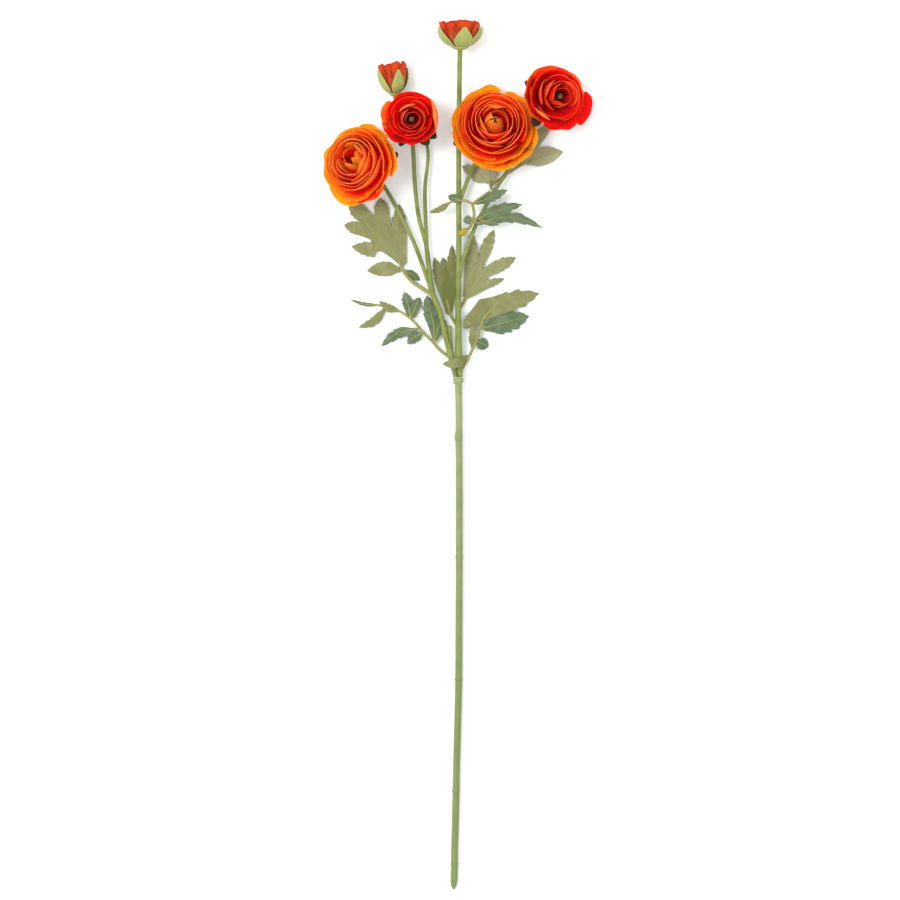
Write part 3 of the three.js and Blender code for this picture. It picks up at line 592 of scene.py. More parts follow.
def closed_sheet(points, faces, notes, thickness, name):
    """Gives a sheet its thickness. The points of its back hold 1 in the note 'back'."""
    flat = bpy.data.meshes.new(name)
    flat.from_pydata([tuple(p) for p in points], [], [tuple(f) for f in faces])
    normals = np.empty(len(points) * 3)
    flat.vertex_normals.foreach_get("vector", normals)
    bpy.data.meshes.remove(flat)
    points = np.asarray(points, float)
    offset = normals.reshape(-1, 3) * thickness / 2
    count = len(points)
    shell = [tuple(face) for face in faces]
    shell += [tuple(corner + count for corner in reversed(face)) for face in faces]
    open_edges = {}
    for face in faces:
        for a, b in zip(face, (*face[1:], face[0])):
            if open_edges.pop((b, a), None) is None:
                open_edges[a, b] = True
    shell += [(b, a, a + count, b + count) for a, b in open_edges]
    mesh = bpy.data.meshes.new(name)
    mesh.from_pydata([tuple(p) for p in (*(points + offset), *(points - offset))], [], shell)
    notes = {**notes, "back": np.zeros(count)}
    for label, values in notes.items():
        values = np.asarray(values, float)
        both = np.concatenate([values, values if label != "back" else values + 1])
        if values.ndim == 2:
            mesh.attributes.new(label, "FLOAT_VECTOR", "POINT").data.foreach_set("vector", both.ravel())
        else:
            mesh.attributes.new(label, "FLOAT", "POINT").data.foreach_set("value", both)
    mesh.shade_smooth()
    mesh.set_sharp_from_angle(angle=math.radians(50))
    return mesh


def lobe_half_width(share, teeth, depth):
    """Half the width of a lobe from its notches (0) to its tip (1), with teeth that point to the tip."""
    full = 0.84 + 0.18 * math.sin(math.pi / 2 * min(share / 0.5, 1))
    if share > 0.5:
        full *= max(1 - ((share - 0.5) / 0.505) ** 1.9, 0.01)
    tooth = (share * teeth) % 1
    bite = depth * min(max((share - 0.3) / 0.2, 0), 1)
    return full * (1 - bite + 1.5 * bite * tooth)


web_rows, lobe_rows, leaf_columns = 6, 40, 10


class LeafCloth:
    """Gathers the lobes of one leaf as points, faces and the notes that its material reads."""

    def __init__(self, seed, shade):
        self.random = random.Random(seed)
        self.shade = shade
        self.points = []
        self.faces = []
        self.place = []
        self.up_side = []
        self.rib_routes = []

    def add_lobe(self, foot, left, right, lobe, up_side, depth):
        x, y, z, half_width, bow, arch = (*lobe, *(0, 0.6)[len(lobe) - 4 :])
        middle = (left + right) / 2
        axis = Vector((x, y, z)) - middle
        side = Vector((-axis.y, axis.x, 0)).normalized()
        outwards, to_left = middle - foot, left - middle
        if outwards.x * to_left.y - outwards.y * to_left.x < 0:
            side.negate()
        reach = (middle - foot).length + axis.length
        phase = self.random.uniform(0, 50)
        cup = self.random.uniform(0.4, 1.1)
        first = len(self.points)
        spine = []
        for row in range(web_rows + lobe_rows + 1):
            web = min(row / web_rows, 1)
            share = max(row - web_rows, 0) / lobe_rows
            widths = [half_width * lobe_half_width(share, teeth, depth) for teeth in lobe_teeth]
            settled = min(share / 0.3, 1)
            settle = settled**2 * (3 - 2 * settled)
            to_left_edge = (left - middle).lerp(side * widths[0], settle)
            to_right_edge = (right - middle).lerp(side * -widths[1], settle)
            centre = foot.lerp(middle, web) + axis * share
            centre += side * bow * math.sin(math.pi * share)
            centre.z += arch * math.sin(math.pi * share)
            if web < 1:
                to_left_edge = foot.lerp(left, web) - centre
                to_right_edge = foot.lerp(right, web) - centre
            spine.append(centre.copy())
            free = share * (1 - 0.2 * share)
            for column in range(leaf_columns + 1):
                across = 2 * column / leaf_columns - 1
                edge = to_left_edge if across < 0 else to_right_edge
                point = centre + edge * abs(across)
                point.z += free * (cup * (1 - abs(across)) ** 1.5 - 0.7 * cup * across**2)
                point.z += 0.5 * free * math.sin(9 * share + phase + 1.6 * across)
                point.z = max(point.z, leaf_clearance)
                self.points.append(point)
                self.place.append((edge.length * across, reach * (row / (web_rows + lobe_rows)), phase))
                self.up_side.append(up_side)
                if row and column:
                    last = first + row * (leaf_columns + 1) + column
                    below = last - leaf_columns - 1
                    self.faces.append((below - 1, last - 1, last, below))
        if up_side == TEAL:
            lift = Vector((0, 0, leaf_thickness * 0.6 + cup * 0.5))
            places = spine[:: len(spine) // len(rib_radii)]
            self.rib_routes.append([(*(p + lift), radius) for p, radius in zip(places, rib_radii)])

    def blade(self, foot, notches, lobes, up_side, depth=0.24):
        """Lobes side by side between notches. Each lobe is its tip's place and its half width, and
        its bow and arch where they aren't 0 and 0.6."""
        foot = Vector(foot)
        mean_tip = sum(lobe[2] for lobe in lobes) / len(lobes)
        longest = max(math.hypot(lobe[0] - foot.x, lobe[1] - foot.y) for lobe in lobes)
        corners = []
        for x, y in notches:
            share = math.hypot(x - foot.x, y - foot.y) / longest
            corners.append(Vector((x, y, foot.z + (mean_tip - foot.z) * share)))
        for left, right, lobe in zip(corners, corners[1:], lobes):
            self.add_lobe(foot, left, right, lobe, up_side, depth)

    def leaflet(self, foot, tip, half_width, bow=0, arch=0.6, up_side=OLIVE, depth=0.24):
        """One lobe on its own, on a narrow neck."""
        foot, tip = Vector(foot), Vector(tip)
        axis = tip - foot
        side = Vector((-axis.y, axis.x, 0)).normalized() * 0.4 * half_width
        neck = foot + axis * 0.1
        self.add_lobe(foot, neck + side, neck - side, (*tip, half_width, bow, arch), up_side, depth)

    def mesh(self, name):
        notes = {
            "place": [tuple(p) for p in self.place],
            "up_side": self.up_side,
            "shade": [self.shade] * len(self.points),
        }
        faces = []
        for face in self.faces:
            a, b, c = (self.points[corner] for corner in face[:3])
            d = self.points[face[3]]
            upward = (c - a).cross(d - b).z > 0
            faces.append(face if upward else face[::-1])
        return closed_sheet(self.points, faces, notes, leaf_thickness, name)


def woven_cloth_group():
    """Threads, creases and blotches of a dyed cloth, from its place in millimetres on the piece."""
    tree, given, result = new_tree(
        "woven cloth",
        "ShaderNodeTree",
        [("Place", "NodeSocketVector", None), ("Thread", "NodeSocketFloat", 0.32)],
        [
            ("Thread height", "NodeSocketFloat"),
            ("Blotch", "NodeSocketFloat"),
            ("Streak", "NodeSocketFloat"),
        ],
    )
    parts = add_node(tree, "ShaderNodeSeparateXYZ", {0: given["Place"]}).outputs
    x, y = Term(tree, parts[0]), Term(tree, parts[1])
    thread = Term(tree, given["Thread"])
    warp = (x / thread * math.pi).by("SINE").by("ABSOLUTE")
    weft = (y / thread * math.pi).by("SINE").by("ABSOLUTE")
    over = ((x / thread).by("FLOOR") + (y / thread).by("FLOOR")).by("MODULO", 2).by("ABSOLUTE")
    feed(tree, result["Thread height"], between(warp, weft, over))
    noise = add_node(tree, "ShaderNodeTexNoise", {"Vector": given["Place"], "Scale": 0.16, "Detail": 3.0})
    feed(tree, result["Blotch"], noise.outputs[0])
    stretched = add_node(tree, "ShaderNodeMapping", {"Vector": given["Place"], "Scale": (1, 0.08, 1)})
    inputs = {"Vector": stretched.outputs[0], "Scale": 0.9, "Detail": 3.0}
    streak = add_node(tree, "ShaderNodeTexNoise", inputs)
    feed(tree, result["Streak"], streak.outputs[0])
    return tree


woven_cloth = woven_cloth_group()


def attribute(tree, name):
    node = add_node(tree, "ShaderNodeAttribute", attribute_type="GEOMETRY", attribute_name=name)
    return node.outputs["Vector"], Term(tree, node.outputs["Fac"])


def leaf_cloth_material():
    material, tree, shader = new_material("leaf cloth", 0.8, 0.25, sheen=0.12)
    place, _ = attribute(tree, "place")
    _, back = attribute(tree, "back")
    _, up_side = attribute(tree, "up_side")
    # 1 on the printed upper side: the side facing up where up_side is 1, else the other
    printed = (up_side - back).by("ABSOLUTE")
    weave = add_node(tree, "ShaderNodeGroup", {"Place": place}, node_tree=woven_cloth).outputs
    parts = add_node(tree, "ShaderNodeSeparateXYZ", {0: place}).outputs
    x, y = Term(tree, parts[0]), Term(tree, parts[1])
    # side veins leave the midrib at a slant, one every 4 mm
    slant = ((y - x.by("ABSOLUTE") * 1.1) / 4).by("FRACT") - 0.5
    side_vein = 1 - smooth_step(slant.by("ABSOLUTE") * 4, 0.05, 0.35)
    midrib = 1 - smooth_step(x.by("ABSOLUTE"), 0.2, 0.9)
    vein = side_vein.by("MAXIMUM", midrib)
    blotch = smooth_step(Term(tree, weave["Blotch"]), 0.3, 0.7)
    _, shade = attribute(tree, "shade")
    teal = mixed(tree, blotch, srgb(116, 136, 104), srgb(92, 114, 82))
    teal = mixed(tree, vein * 0.35, teal, srgb(148, 160, 100))
    olive = mixed(tree, blotch, srgb(160, 160, 112), srgb(142, 142, 90))
    # shade above 0 darkens the olive and below 0 pales it; the back right leaf's paler olive is partly its
    # own sage tone and partly painted light
    olive = mixed(tree, shade, olive, srgb(104, 110, 44))
    olive = mixed(tree, shade * -1, olive, srgb(206, 206, 166))
    olive = mixed(tree, vein * 0.3, olive, srgb(130, 130, 74))
    # painted shade: the olive side is a deeper green where the lobes meet at the stalk
    stalk_shade = 1 - smooth_step(y, 3, 20)
    olive = mixed(tree, stalk_shade * between(0.1, 0.8, shade * 2), olive, srgb(108, 118, 50))
    colour = mixed(tree, printed, olive, teal)
    streak = smooth_step(Term(tree, weave["Streak"]), 0.4, 0.8) * 0.18
    colour = mixed(tree, streak, colour, srgb(120, 128, 88))
    feed(tree, shader.inputs["Base Color"], colour)
    relief = Term(tree, weave["Thread height"]) * 0.3 - vein * 0.8
    feed(tree, shader.inputs["Normal"], bumped(tree, relief, 0.5, 0.15))
    return material


leaf_cloth = leaf_cloth_material()
stalk_plastic = moulded_plastic("stalk plastic", (166, 162, 92), (146, 148, 76), (142, 148, 78))

# each leaf's seed and shade; the back right leaf is paler partly as painted light against the shadow of the
# bloom over it
leaves = {
    "leaf_left_upper": LeafCloth(3, 0.04),
    "leaf_left_lower": LeafCloth(4, 0.1),
    "leaf_centre_left": LeafCloth(5, 0.5),
    "leaf_centre_right": LeafCloth(6, -0.05),
    "leaf_right_lower": LeafCloth(7, 0.15),
    "leaf_right_upper": LeafCloth(8, 0.1),
    "leaf_right_back": LeafCloth(9, -0.45),
}
stalks = {}

leaf = leaves["leaf_left_upper"]
leaf.blade(
    (-45, 150.2, 2.8),
    [(-47, 152.4), (-69, 171.5), (-79, 187), (-67, 191), (-53.5, 182.5), (-41, 153)],
    [
        (-85, 166.4, 0.6, 5.9),
        (-91, 183.6, 0.6, 5.2),
        (-87, 201, 1.2, 6.5),
        (-62, 205, 2, 6),
        (-47, 200, 2.4, 6.2),
    ],
    OLIVE,
    depth=0.16,
)
leaf.leaflet((-44.4, 148, 2.8), (-72.6, 147, 0.8), 5.8, -1, depth=0.08)
leaf.leaflet((-44, 147.5, 3), (-30.5, 139.6, 1.4), 3.6, up_side=TEAL)
stalks["leaf_left_upper"] = [
    [
        (-20.8, 127.6, 7.5, 1.6),
        (-29, 133, 6, 1.7),
        (-36.7, 138.4, 4.4, 1.6),
        (-43.7, 146.6, 3, 1.2),
        (-47.5, 156, 2.6, 0.8),
    ]
]

leaf = leaves["leaf_left_lower"]
leaf.blade(
    (-19, 88.6, 4.7),
    [(-22, 97), (-16.4, 110), (-13, 96)],
    [(-25, 127, 2, 6), (-9.8, 107, 3.2, 4.4)],
    TEAL,
)
leaf.blade(
    (-38, 108.4, 3.7),
    [(-41, 112), (-36.6, 120), (-33.6, 110)],
    [(-42.8, 130, 2, 4.2), (-30.8, 125.6, 2, 4)],
    TEAL,
)
leaf.leaflet((-31, 101.2, 4), (-61.4, 86.6, 1), 4.2, -3.4, up_side=TEAL)
leaf.leaflet((-27.8, 97.6, 4.2), (-40.6, 88.4, 1.2), 4.4, -1, up_side=TEAL)
leaf.leaflet((-56, 118, 3.3), (-79.7, 101.6, 1.6), 3.6, 3)
leaf.leaflet((-61, 119.2, 3), (-86, 124, 2.2), 1.4, 1.6, up_side=TEAL)
leaf.leaflet((-46, 114, 3.6), (-63, 122.6, 4.6), 3.2, 1.4)
stalks["leaf_left_lower"] = [
    [
        (-5.6, 77, 7, 1.3),
        (-14, 83, 6, 1.2),
        (-20, 89.5, 4.8, 1.1),
        (-29, 99, 4, 1.1),
        (-35, 106, 3.8, 1),
        (-44, 113, 3.6, 0.9),
        (-53, 117, 3.4, 0.8),
        (-64, 119.5, 3, 0.7),
    ]
]

leaf = leaves["leaf_centre_left"]
leaf.blade(
    (-5.5, 110, 3.2),
    [(-9.8, 113), (-14, 146), (-8.6, 149), (-1.6, 129)],
    [(-18.6, 157.4, 1.4, 4.2), (-11.8, 157.6, 1.6, 2.6), (-5, 167.4, 2, 3.6)],
    OLIVE,
)
stalks["leaf_centre_left"] = [
    [(0.2, 101, 7.3, 1.2), (-2.8, 106, 4.8, 1.2), (-5.6, 111, 3.2, 1.1), (-9, 124, 2.6, 0.8)]
]

leaf = leaves["leaf_centre_right"]
leaf.blade(
    (6.2, 124, 2.5),
    [(4.2, 127), (17, 161), (20, 149), (24, 142), (11, 126)],
    [
        (11, 178, 2.4, 5.4),
        (28.6, 179.4, 1, 4.8),
        (46.4, 157.6, 0.6, 5.2),
        (37, 140.6, 0.8, 3.2),
    ],
    OLIVE,
)
stalks["leaf_centre_right"] = [
    [(0.4, 115, 7.4, 1.2), (3, 119, 4.4, 1.2), (6, 124.5, 2.6, 1.1), (11.6, 141, 2.2, 0.8)]
]

leaf = leaves["leaf_right_lower"]
leaf.blade(
    (19.6, 106, 4.1),
    [(14.4, 101.6), (17, 124), (25.6, 108.6)],
    [(4.6, 101, 3.9, 5.4, 0, 0.2), (65, 129, 0.5, 8, 0, 1.4)],
    OLIVE,
)
leaf.leaflet((18.4, 100.6, 4.3), (57, 110.6, 0.6), 8.6, 0, 0.4, up_side=TEAL)
leaf.leaflet((14.6, 90.6, 5.2), (24.4, 86.4, 1.4), 5, 0, 0.2, up_side=TEAL)
leaf.leaflet((11.6, 83.6, 5.8), (12.6, 105, 5.2), 3.4)
leaf.leaflet((9, 78.8, 6.6), (-12.4, 72.4, 7.6), 4.4, 2.6, 4.4)
stalks["leaf_right_lower"] = [
    [
        (0.4, stem_foot, 3.7, 1.1),
        (0.6, 64.4, 3.7, 1.2),
        (3.4, 69, 4, 1.2),
        (6.4, 74, 5.6, 1.2),
        (10.2, 81, 6.2, 1.2),
        (16, 95, 5.2, 1.1),
        (20.8, 109, 4.2, 1),
        (32, 121, 3.6, 0.7),
    ]
]

leaf = leaves["leaf_right_upper"]
leaf.leaflet((-5, 201.6, 14.2), (-22.6, 193.2, 11), 2.6, 1.2)
leaf.leaflet((3, 202.6, 15), (-8, 206, 13.6), 3.6, up_side=TEAL)
leaf.leaflet((12.6, 199.6, 14.8), (39.4, 211, 12.4), 4.2, up_side=TEAL)
leaf.leaflet((12.2, 187, 13.8), (51.2, 199.6, 11), 4.8, 1.4, up_side=TEAL)
leaf.leaflet((12, 185, 13.6), (67, 181, 9.4), 4.4, 6.6, up_side=TEAL)
leaf.leaflet((17, 187.4, 13.6), (32.6, 183.4, 12.2), 2.8, up_side=TEAL)
leaf.leaflet((12, 188, 13.8), (4.2, 186.4, 12.9), 3.6, 0, 0.3, up_side=TEAL)
stalks["leaf_right_upper"] = [
    [
        (3.4, 177, 11.6, 1.6),
        (5.8, 178.6, 12.4, 1.4),
        (9.5, 181.5, 13, 1.2),
        (12.8, 191, 14, 1.1),
        (11.4, 200, 14.8, 1.1),
    ],
    [(10.8, 199, 14.8, 1), (18, 205, 15, 0.9), (26, 210.4, 14.4, 0.7)],
    [(12, 199.6, 14.8, 1), (6, 202.4, 15, 0.9), (0.9, 202.6, 14.8, 0.8), (-8.5, 200.6, 13.8, 0.7)],
]

leaf = leaves["leaf_right_back"]
leaf.leaflet((26.2, 217.6, 3), (3.4, 230.4, 1.2), 6.4, -1)
leaf.leaflet((26.4, 216, 3.2), (23.6, 239, 1.6), 7)
leaf.leaflet((52, 233, 2), (84, 242, 0.5), 7, 1, depth=0.03)
leaf.leaflet((46, 228.6, 2.2), (76, 264, 1.6), 5.4, 2.6, depth=0.03)
stalks["leaf_right_back"] = [
    [(29.4, 210.6, 8, 1.1), (26.6, 212.6, 5.6, 1.1), (26, 217, 3.2, 1.1), (26.4, 222, 2.6, 0.8)],
    [(26, 215, 3.8, 1), (36, 222, 2.6, 1), (50, 231, 2, 0.9), (64, 237, 1.6, 0.7)],
]

# the right upper leaf stands in a blob of yellow plastic on the stem
yellow_plastic = moulded_plastic("yellow plastic", (196, 178, 60), (168, 150, 34), (150, 140, 40))
blob_route = [(1.2, 175, 10.4, 1.2), (2.6, 176.4, 11.2, 2.7), (5, 178, 12, 2.9), (7, 179.4, 12.6, 1.5)]
blob_mesh = tubes("leaf_right_upper_node", [blob_route], yellow_plastic, sides=16)
leaf_blob = finished_piece("leaf_right_upper_node", blob_mesh)
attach(leaf_blob, "root")
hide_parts("leaf_right_upper")

teal_leaves = ("leaf_left_lower", "leaf_right_upper", "leaf_right_back")
for name, leaf in leaves.items():
    cloth_mesh = leaf.mesh(f"{name}_cloth")
    cloth_mesh.materials.append(leaf_cloth)
    cloth = finished_piece(f"{name}_cloth", cloth_mesh)
    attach(cloth, "root")
    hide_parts(name)
    "leaf_teal" if name in teal_leaves else "leaf_olive"
    routes = stalks[name] + leaf.rib_routes
    stalk_mesh = tubes(f"{name}_stalk", routes, stalk_plastic, steps=5, sides=12, flash_height=0.03)
    leaf_stalk = finished_piece(f"{name}_stalk", stalk_mesh)
    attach(leaf_stalk, "root")
    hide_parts(name)

# ---------------------------------------------------------------- blooms
# Each bloom is made of cupped cloth petals glued at their roots, large ones placed one by one
# and small ones in a spiral. The cloth is dyed orange or red, and some petals are dyed amber. A pale
# line along each petal's edge is a painted highlight, and the smallest petals hold painted shade.

golden_angle = math.radians(137.5)
petal_thickness = 0.32
rim_height = 0.3  # of the outermost petals, as a share of the bloom's radius
inner_rim = 0.16  # distance of the innermost petals' rims from the axis, as such a share


def petal_tree():
    """Shapes one grid of points into a petal for each point it is given, by that point's own sizes."""
    tree, given, result = new_tree(
        "petals in a spiral",
        "GeometryNodeTree",
        [
            ("Petals", "NodeSocketGeometry", None),
            ("Radius", "NodeSocketFloat", 30),
            ("Heart to the right", "NodeSocketFloat", 0.0),
            ("Heart upwards", "NodeSocketFloat", 0.0),
            ("Cells across", "NodeSocketInt", 24),
            ("Cells along", "NodeSocketInt", 20),
            ("Root width", "NodeSocketFloat", 0.55),
            ("Shoulder width", "NodeSocketFloat", 0.88),
            ("Ruffle", "NodeSocketFloat", 0.022),
            ("Roundness", "NodeSocketFloat", 0.2),
            ("Flatness", "NodeSocketFloat", 0.25),
            ("Material", "NodeSocketMaterial", None),
        ],
        [("Bloom", "NodeSocketGeometry")],
    )
    columns = Term(tree, given["Cells across"]) + 1
    rows = Term(tree, given["Cells along"]) + 1
    inputs = {"Size X": 2, "Size Y": 1, "Vertices X": columns, "Vertices Y": rows}
    sheet = add_node(tree, "GeometryNodeMeshGrid", inputs).outputs[0]
    position = add_node(tree, "GeometryNodeInputPosition").outputs[0]
    grid_place = add_node(tree, "ShaderNodeSeparateXYZ", {0: position}).outputs
    sheet = stored(tree, sheet, "across", grid_place[0])
    sheet = stored(tree, sheet, "along", Term(tree, grid_place[1]) + 0.5)
    petals = add_node(
        tree, "GeometryNodeInstanceOnPoints", {"Points": given["Petals"], "Instance": sheet}
    ).outputs[0]
    petals = add_node(tree, "GeometryNodeRealizeInstances", {"Geometry": petals}).outputs[0]

    across, along, layer, azimuth, half_angle, rim, height, closing, phase = (
        Term(tree, named(tree, name))
        for name in (
            "across", "along", "layer", "azimuth", "half_angle", "rim", "height", "closing", "phase",
        )
    )
    radius = Term(tree, given["Radius"])
    ruffle = Term(tree, given["Ruffle"])
    flatness = Term(tree, given["Flatness"])
    # both ways shrink towards the corners, which makes the outline a smooth arch
    roundness = Term(tree, given["Roundness"])
    corner_share = along**2 * across**2 * roundness
    arch_across = across * (1 - corner_share)
    arch_along = along * (1 - corner_share)
    rise = between(0.1, 1, arch_along)
    left = 1 - rise
    root_part, belly_part = left**3, left**2 * rise * 3
    shoulder_part, rim_part = left * rise**2 * 3, rise**3
    out = root_part * 0.05
    out = out + belly_part * (rim * Term(tree, given["Root width"]) + layer * 0.04 + 0.02)
    out = out + shoulder_part * (rim * Term(tree, given["Shoulder width"]) + layer * 0.04 + closing)
    out = out + rim_part * rim
    up = belly_part * (layer * 0.08 + 0.007)
    up = up + shoulder_part * (height * 0.36 + layer * 0.06)
    up = up + rim_part * height
    # the cloth stays flatter than a true round, so a petal's middle lies nearer the axis
    bend = (half_angle * 0.8).by("COSINE") / (arch_across * half_angle * 0.8).by("COSINE")
    out = out * between(1, bend, flatness * along)
    wave = (across * 4 + phase).by("SINE") + (across * 9 + phase * 3).by("SINE") * 0.3
    ripple = (across * 7 + phase * 2).by("SINE")
    freedom = along**4 * ruffle * (1 - layer) ** 2
    # one side of each petal lies over its neighbour and the other side under the next one
    out = out + freedom * wave + arch_across * along * 0.02
    up = up + freedom * ripple * 1.2 - arch_across * along * 0.02
    angle = azimuth - arch_across * half_angle * between(0.55, 1, along**0.8)
    out, up = out * radius, up * radius
    heart_share = layer * along * radius
    x = out * angle.by("COSINE") + heart_share * Term(tree, given["Heart to the right"])
    y = out * angle.by("SINE") + heart_share * Term(tree, given["Heart upwards"])
    corner = add_node(tree, "ShaderNodeCombineXYZ", {"X": x, "Y": y, "Z": up}).outputs[0]
    petals = add_node(tree, "GeometryNodeSetPosition", {"Geometry": petals, "Position": corner}).outputs[0]
    length = radius * (rim * 0.8 + height * 0.6)
    down = (1 - along) * length
    sideways = (1 - across.by("ABSOLUTE")) * half_angle * out
    petals = stored(tree, petals, "from_rim", down)
    petals = stored(tree, petals, "from_edge", down.by("MINIMUM", sideways * 2))
    cloth_place = add_node(
        tree,
        "ShaderNodeCombineXYZ",
        {"X": across * half_angle * rim * radius, "Y": along * length, "Z": phase * 7},
    ).outputs[0]
    petals = stored(tree, petals, "place", cloth_place, "FLOAT_VECTOR")
    petals = add_node(tree, "GeometryNodeSetShadeSmooth", {"Geometry": petals}).outputs[0]
    inputs = {"Geometry": petals, "Material": given["Material"]}
    feed(tree, result["Bloom"], add_node(tree, "GeometryNodeSetMaterial", inputs).outputs[0])
    return tree


spiral_of_petals = petal_tree()
petal_sizes = ("layer", "azimuth", "half_angle", "rim", "height", "closing", "phase", "amber")


def spiral(count, turn, seed, layers, amber):
    """The petals of a spiral from the outermost in. layers gives the first and the last layer,
    from 0 at the outside to 1 at the heart, and amber the dye of the first and the last petal."""
    draw = random.Random(seed)
    petals = []
    for i in range(count):
        share = i / (count - 1)
        layer = layers[0] + (layers[1] - layers[0]) * share
        petal = {
            "layer": layer,
            "azimuth": math.radians(turn) + i * golden_angle + draw.uniform(-0.2, 0.2),
            "half_angle": math.radians(72 + 14 * layer) * draw.uniform(0.9, 1.1),
            "rim": (1 + (inner_rim - 1) * layer**1.15) * draw.uniform(0.97, 1.03),
            "height": (rim_height + 1.15 * layer - 0.93 * layer**2) * draw.uniform(0.97, 1.03),
            "closing": 0.02 + 0.06 * max(layer - 0.5, 0) * draw.uniform(0.4, 1.6),
            "phase": draw.uniform(0, 6),
            "amber": amber[0] + (amber[1] - amber[0]) * share,
        }
        petals.append(petal)
    return petals


def placed_petals(placed, seed):
    """Petals given one by one as (azimuth, rim, height, closing, half angle, amber)."""
    draw = random.Random(seed)
    petals = []
    for azimuth, rim, height, closing, half_angle, amber in placed:
        petal = {
            "layer": min(max((1 - rim) / (1 - inner_rim), 0), 1),
            "azimuth": math.radians(azimuth),
            "half_angle": math.radians(half_angle),
            "rim": rim,
            "height": height,
            "closing": closing,
            "phase": draw.uniform(0, 6),
            "amber": amber,
        }
        petals.append(petal)
    return petals


def bloom_mesh(name, radius, petals, material, **sizes):
    """The petals of one bloom or bud as thin shells, with the notes that their material reads."""
    roots = bpy.data.meshes.new(name)
    roots.from_pydata([(0, 0, 0)] * len(petals), [], [])
    for size in petal_sizes:
        values = [petal[size] for petal in petals]
        roots.attributes.new(size, "FLOAT", "POINT").data.foreach_set("value", values)
    sizes["radius"] = float(radius)
    open_mesh = evaluated_mesh(roots, spiral_of_petals, name, material=material, **sizes)
    count = len(open_mesh.vertices)
    points = np.empty(count * 3)
    open_mesh.vertices.foreach_get("co", points)
    faces = [tuple(polygon.vertices) for polygon in open_mesh.polygons]
    notes = {"place": np.empty(count * 3)}
    open_mesh.attributes["place"].data.foreach_get("vector", notes["place"])
    notes["place"] = notes["place"].reshape(-1, 3)
    for note in ("amber", "from_rim", "from_edge", "layer"):
        notes[note] = np.empty(count)
        open_mesh.attributes[note].data.foreach_get("value", notes[note])
    shell = closed_sheet(points.reshape(-1, 3), faces, notes, petal_thickness, name)
    bpy.data.meshes.remove(open_mesh)
    shell.materials.append(material)
    return shell


def ramp(tree, value, *stops):
    """A colour that runs through the stops: (place of the stop, colour)."""
    node = tree.nodes.new("ShaderNodeValToRGB")
    first, last = stops[0][0], stops[-1][0]
    feed(tree, node.inputs[0], (value - first) / (last - first))
    elements = node.color_ramp.elements
    for place, _ in stops[1:-1]:
        elements.new((place - first) / (last - first))
    for element, (_, colour) in zip(elements, stops):
        element.color = colour
    return node.outputs[0]


def petal_cloth(name, rim, outer_rim, hollow_shade, face, back, amber_face, amber_back):
    """Dyed cloth. Each colour is given as stops (distance from the rim, colour), for the petals'
    faces and backs, and for those of the petals that are dyed amber. rim is the colour painted along
    each petal's edge, on the blooms a pale line that is a painted highlight of light on the thin edge.
    outer_rim is the share of it that the outermost petals show, and hollow the painted shade inside the
    smallest petals."""
    material, tree, shader = new_material(name, 0.8, 0.12)
    shader.inputs["Subsurface Weight"].default_value = 0.6
    shader.inputs["Subsurface Radius"].default_value = (0.006, 0.0016, 0.0004)
    shader.inputs["Subsurface Scale"].default_value = 1
    place, _ = attribute(tree, "place")
    _, behind = attribute(tree, "back")
    _, amber = attribute(tree, "amber")
    _, layer = attribute(tree, "layer")
    _, from_rim = attribute(tree, "from_rim")
    _, from_edge = attribute(tree, "from_edge")
    weave = add_node(tree, "ShaderNodeGroup", {"Place": place}, node_tree=woven_cloth).outputs
    blotch, streak = Term(tree, weave["Blotch"]), Term(tree, weave["Streak"])
    ragged = from_rim + (streak - 0.5) * 4
    face_colour = mixed(tree, amber, ramp(tree, from_rim, *face), ramp(tree, ragged, *amber_face))
    back_colour = mixed(tree, amber, ramp(tree, from_rim, *back), ramp(tree, ragged, *amber_back))
    # painted shade: the smallest petals are darker inside, and their edges show less of the painted
    # highlight
    heart = smooth_step(layer, 0.68, 0.95)
    face_colour = mixed(tree, heart * 0.75, face_colour, hollow_shade)
    colour = mixed(tree, behind, face_colour, back_colour)
    # painted highlight: the edge line, pale on the blooms, made patchy by the cloth's blotches
    edge = (1 - smooth_step(from_edge, 0.25, 1.2)) * between(1, 0.35, heart)
    edge_patchiness = between(0.45, 1, smooth_step(blotch, 0.35, 0.6))
    rim_share = edge * edge_patchiness * between(outer_rim, 1, smooth_step(layer, 0.2, 0.5))
    colour = mixed(tree, rim_share, colour, rim)
    shade = between(0.9, 1.07, smooth_step(blotch, 0.3, 0.7)) * between(0.94, 1.05, streak)
    value = add_node(tree, "ShaderNodeCombineColor", {"Red": shade, "Green": shade, "Blue": shade})
    colour = mixed(tree, 1, colour, value.outputs[0], "MULTIPLY")
    feed(tree, shader.inputs["Base Color"], colour)
    relief = Term(tree, weave["Thread height"]) * 0.35 + streak * 1.6
    feed(tree, shader.inputs["Normal"], bumped(tree, relief, 0.45, 0.2))
    return material


orange_cloth = petal_cloth(
    "orange petal cloth",
    rim=dye(255, 132, 66),
    outer_rim=0.25,
    hollow_shade=dye(190, 24, 0),
    face=[(0, dye(252, 78, 24)), (3, dye(250, 42, 10)), (7, dye(250, 18, 2)), (16, dye(240, 6, 0))],
    back=[(0, dye(252, 86, 36)), (5, dye(250, 44, 14)), (14, dye(240, 16, 2))],
    amber_face=[
        (0, dye(246, 144, 14)),
        (6, dye(255, 144, 12)),
        (10, dye(250, 80, 6)),
        (14, dye(246, 22, 2)),
    ],
    amber_back=[(0, dye(252, 138, 36)), (5, dye(250, 104, 16)), (12, dye(244, 52, 8))],
)
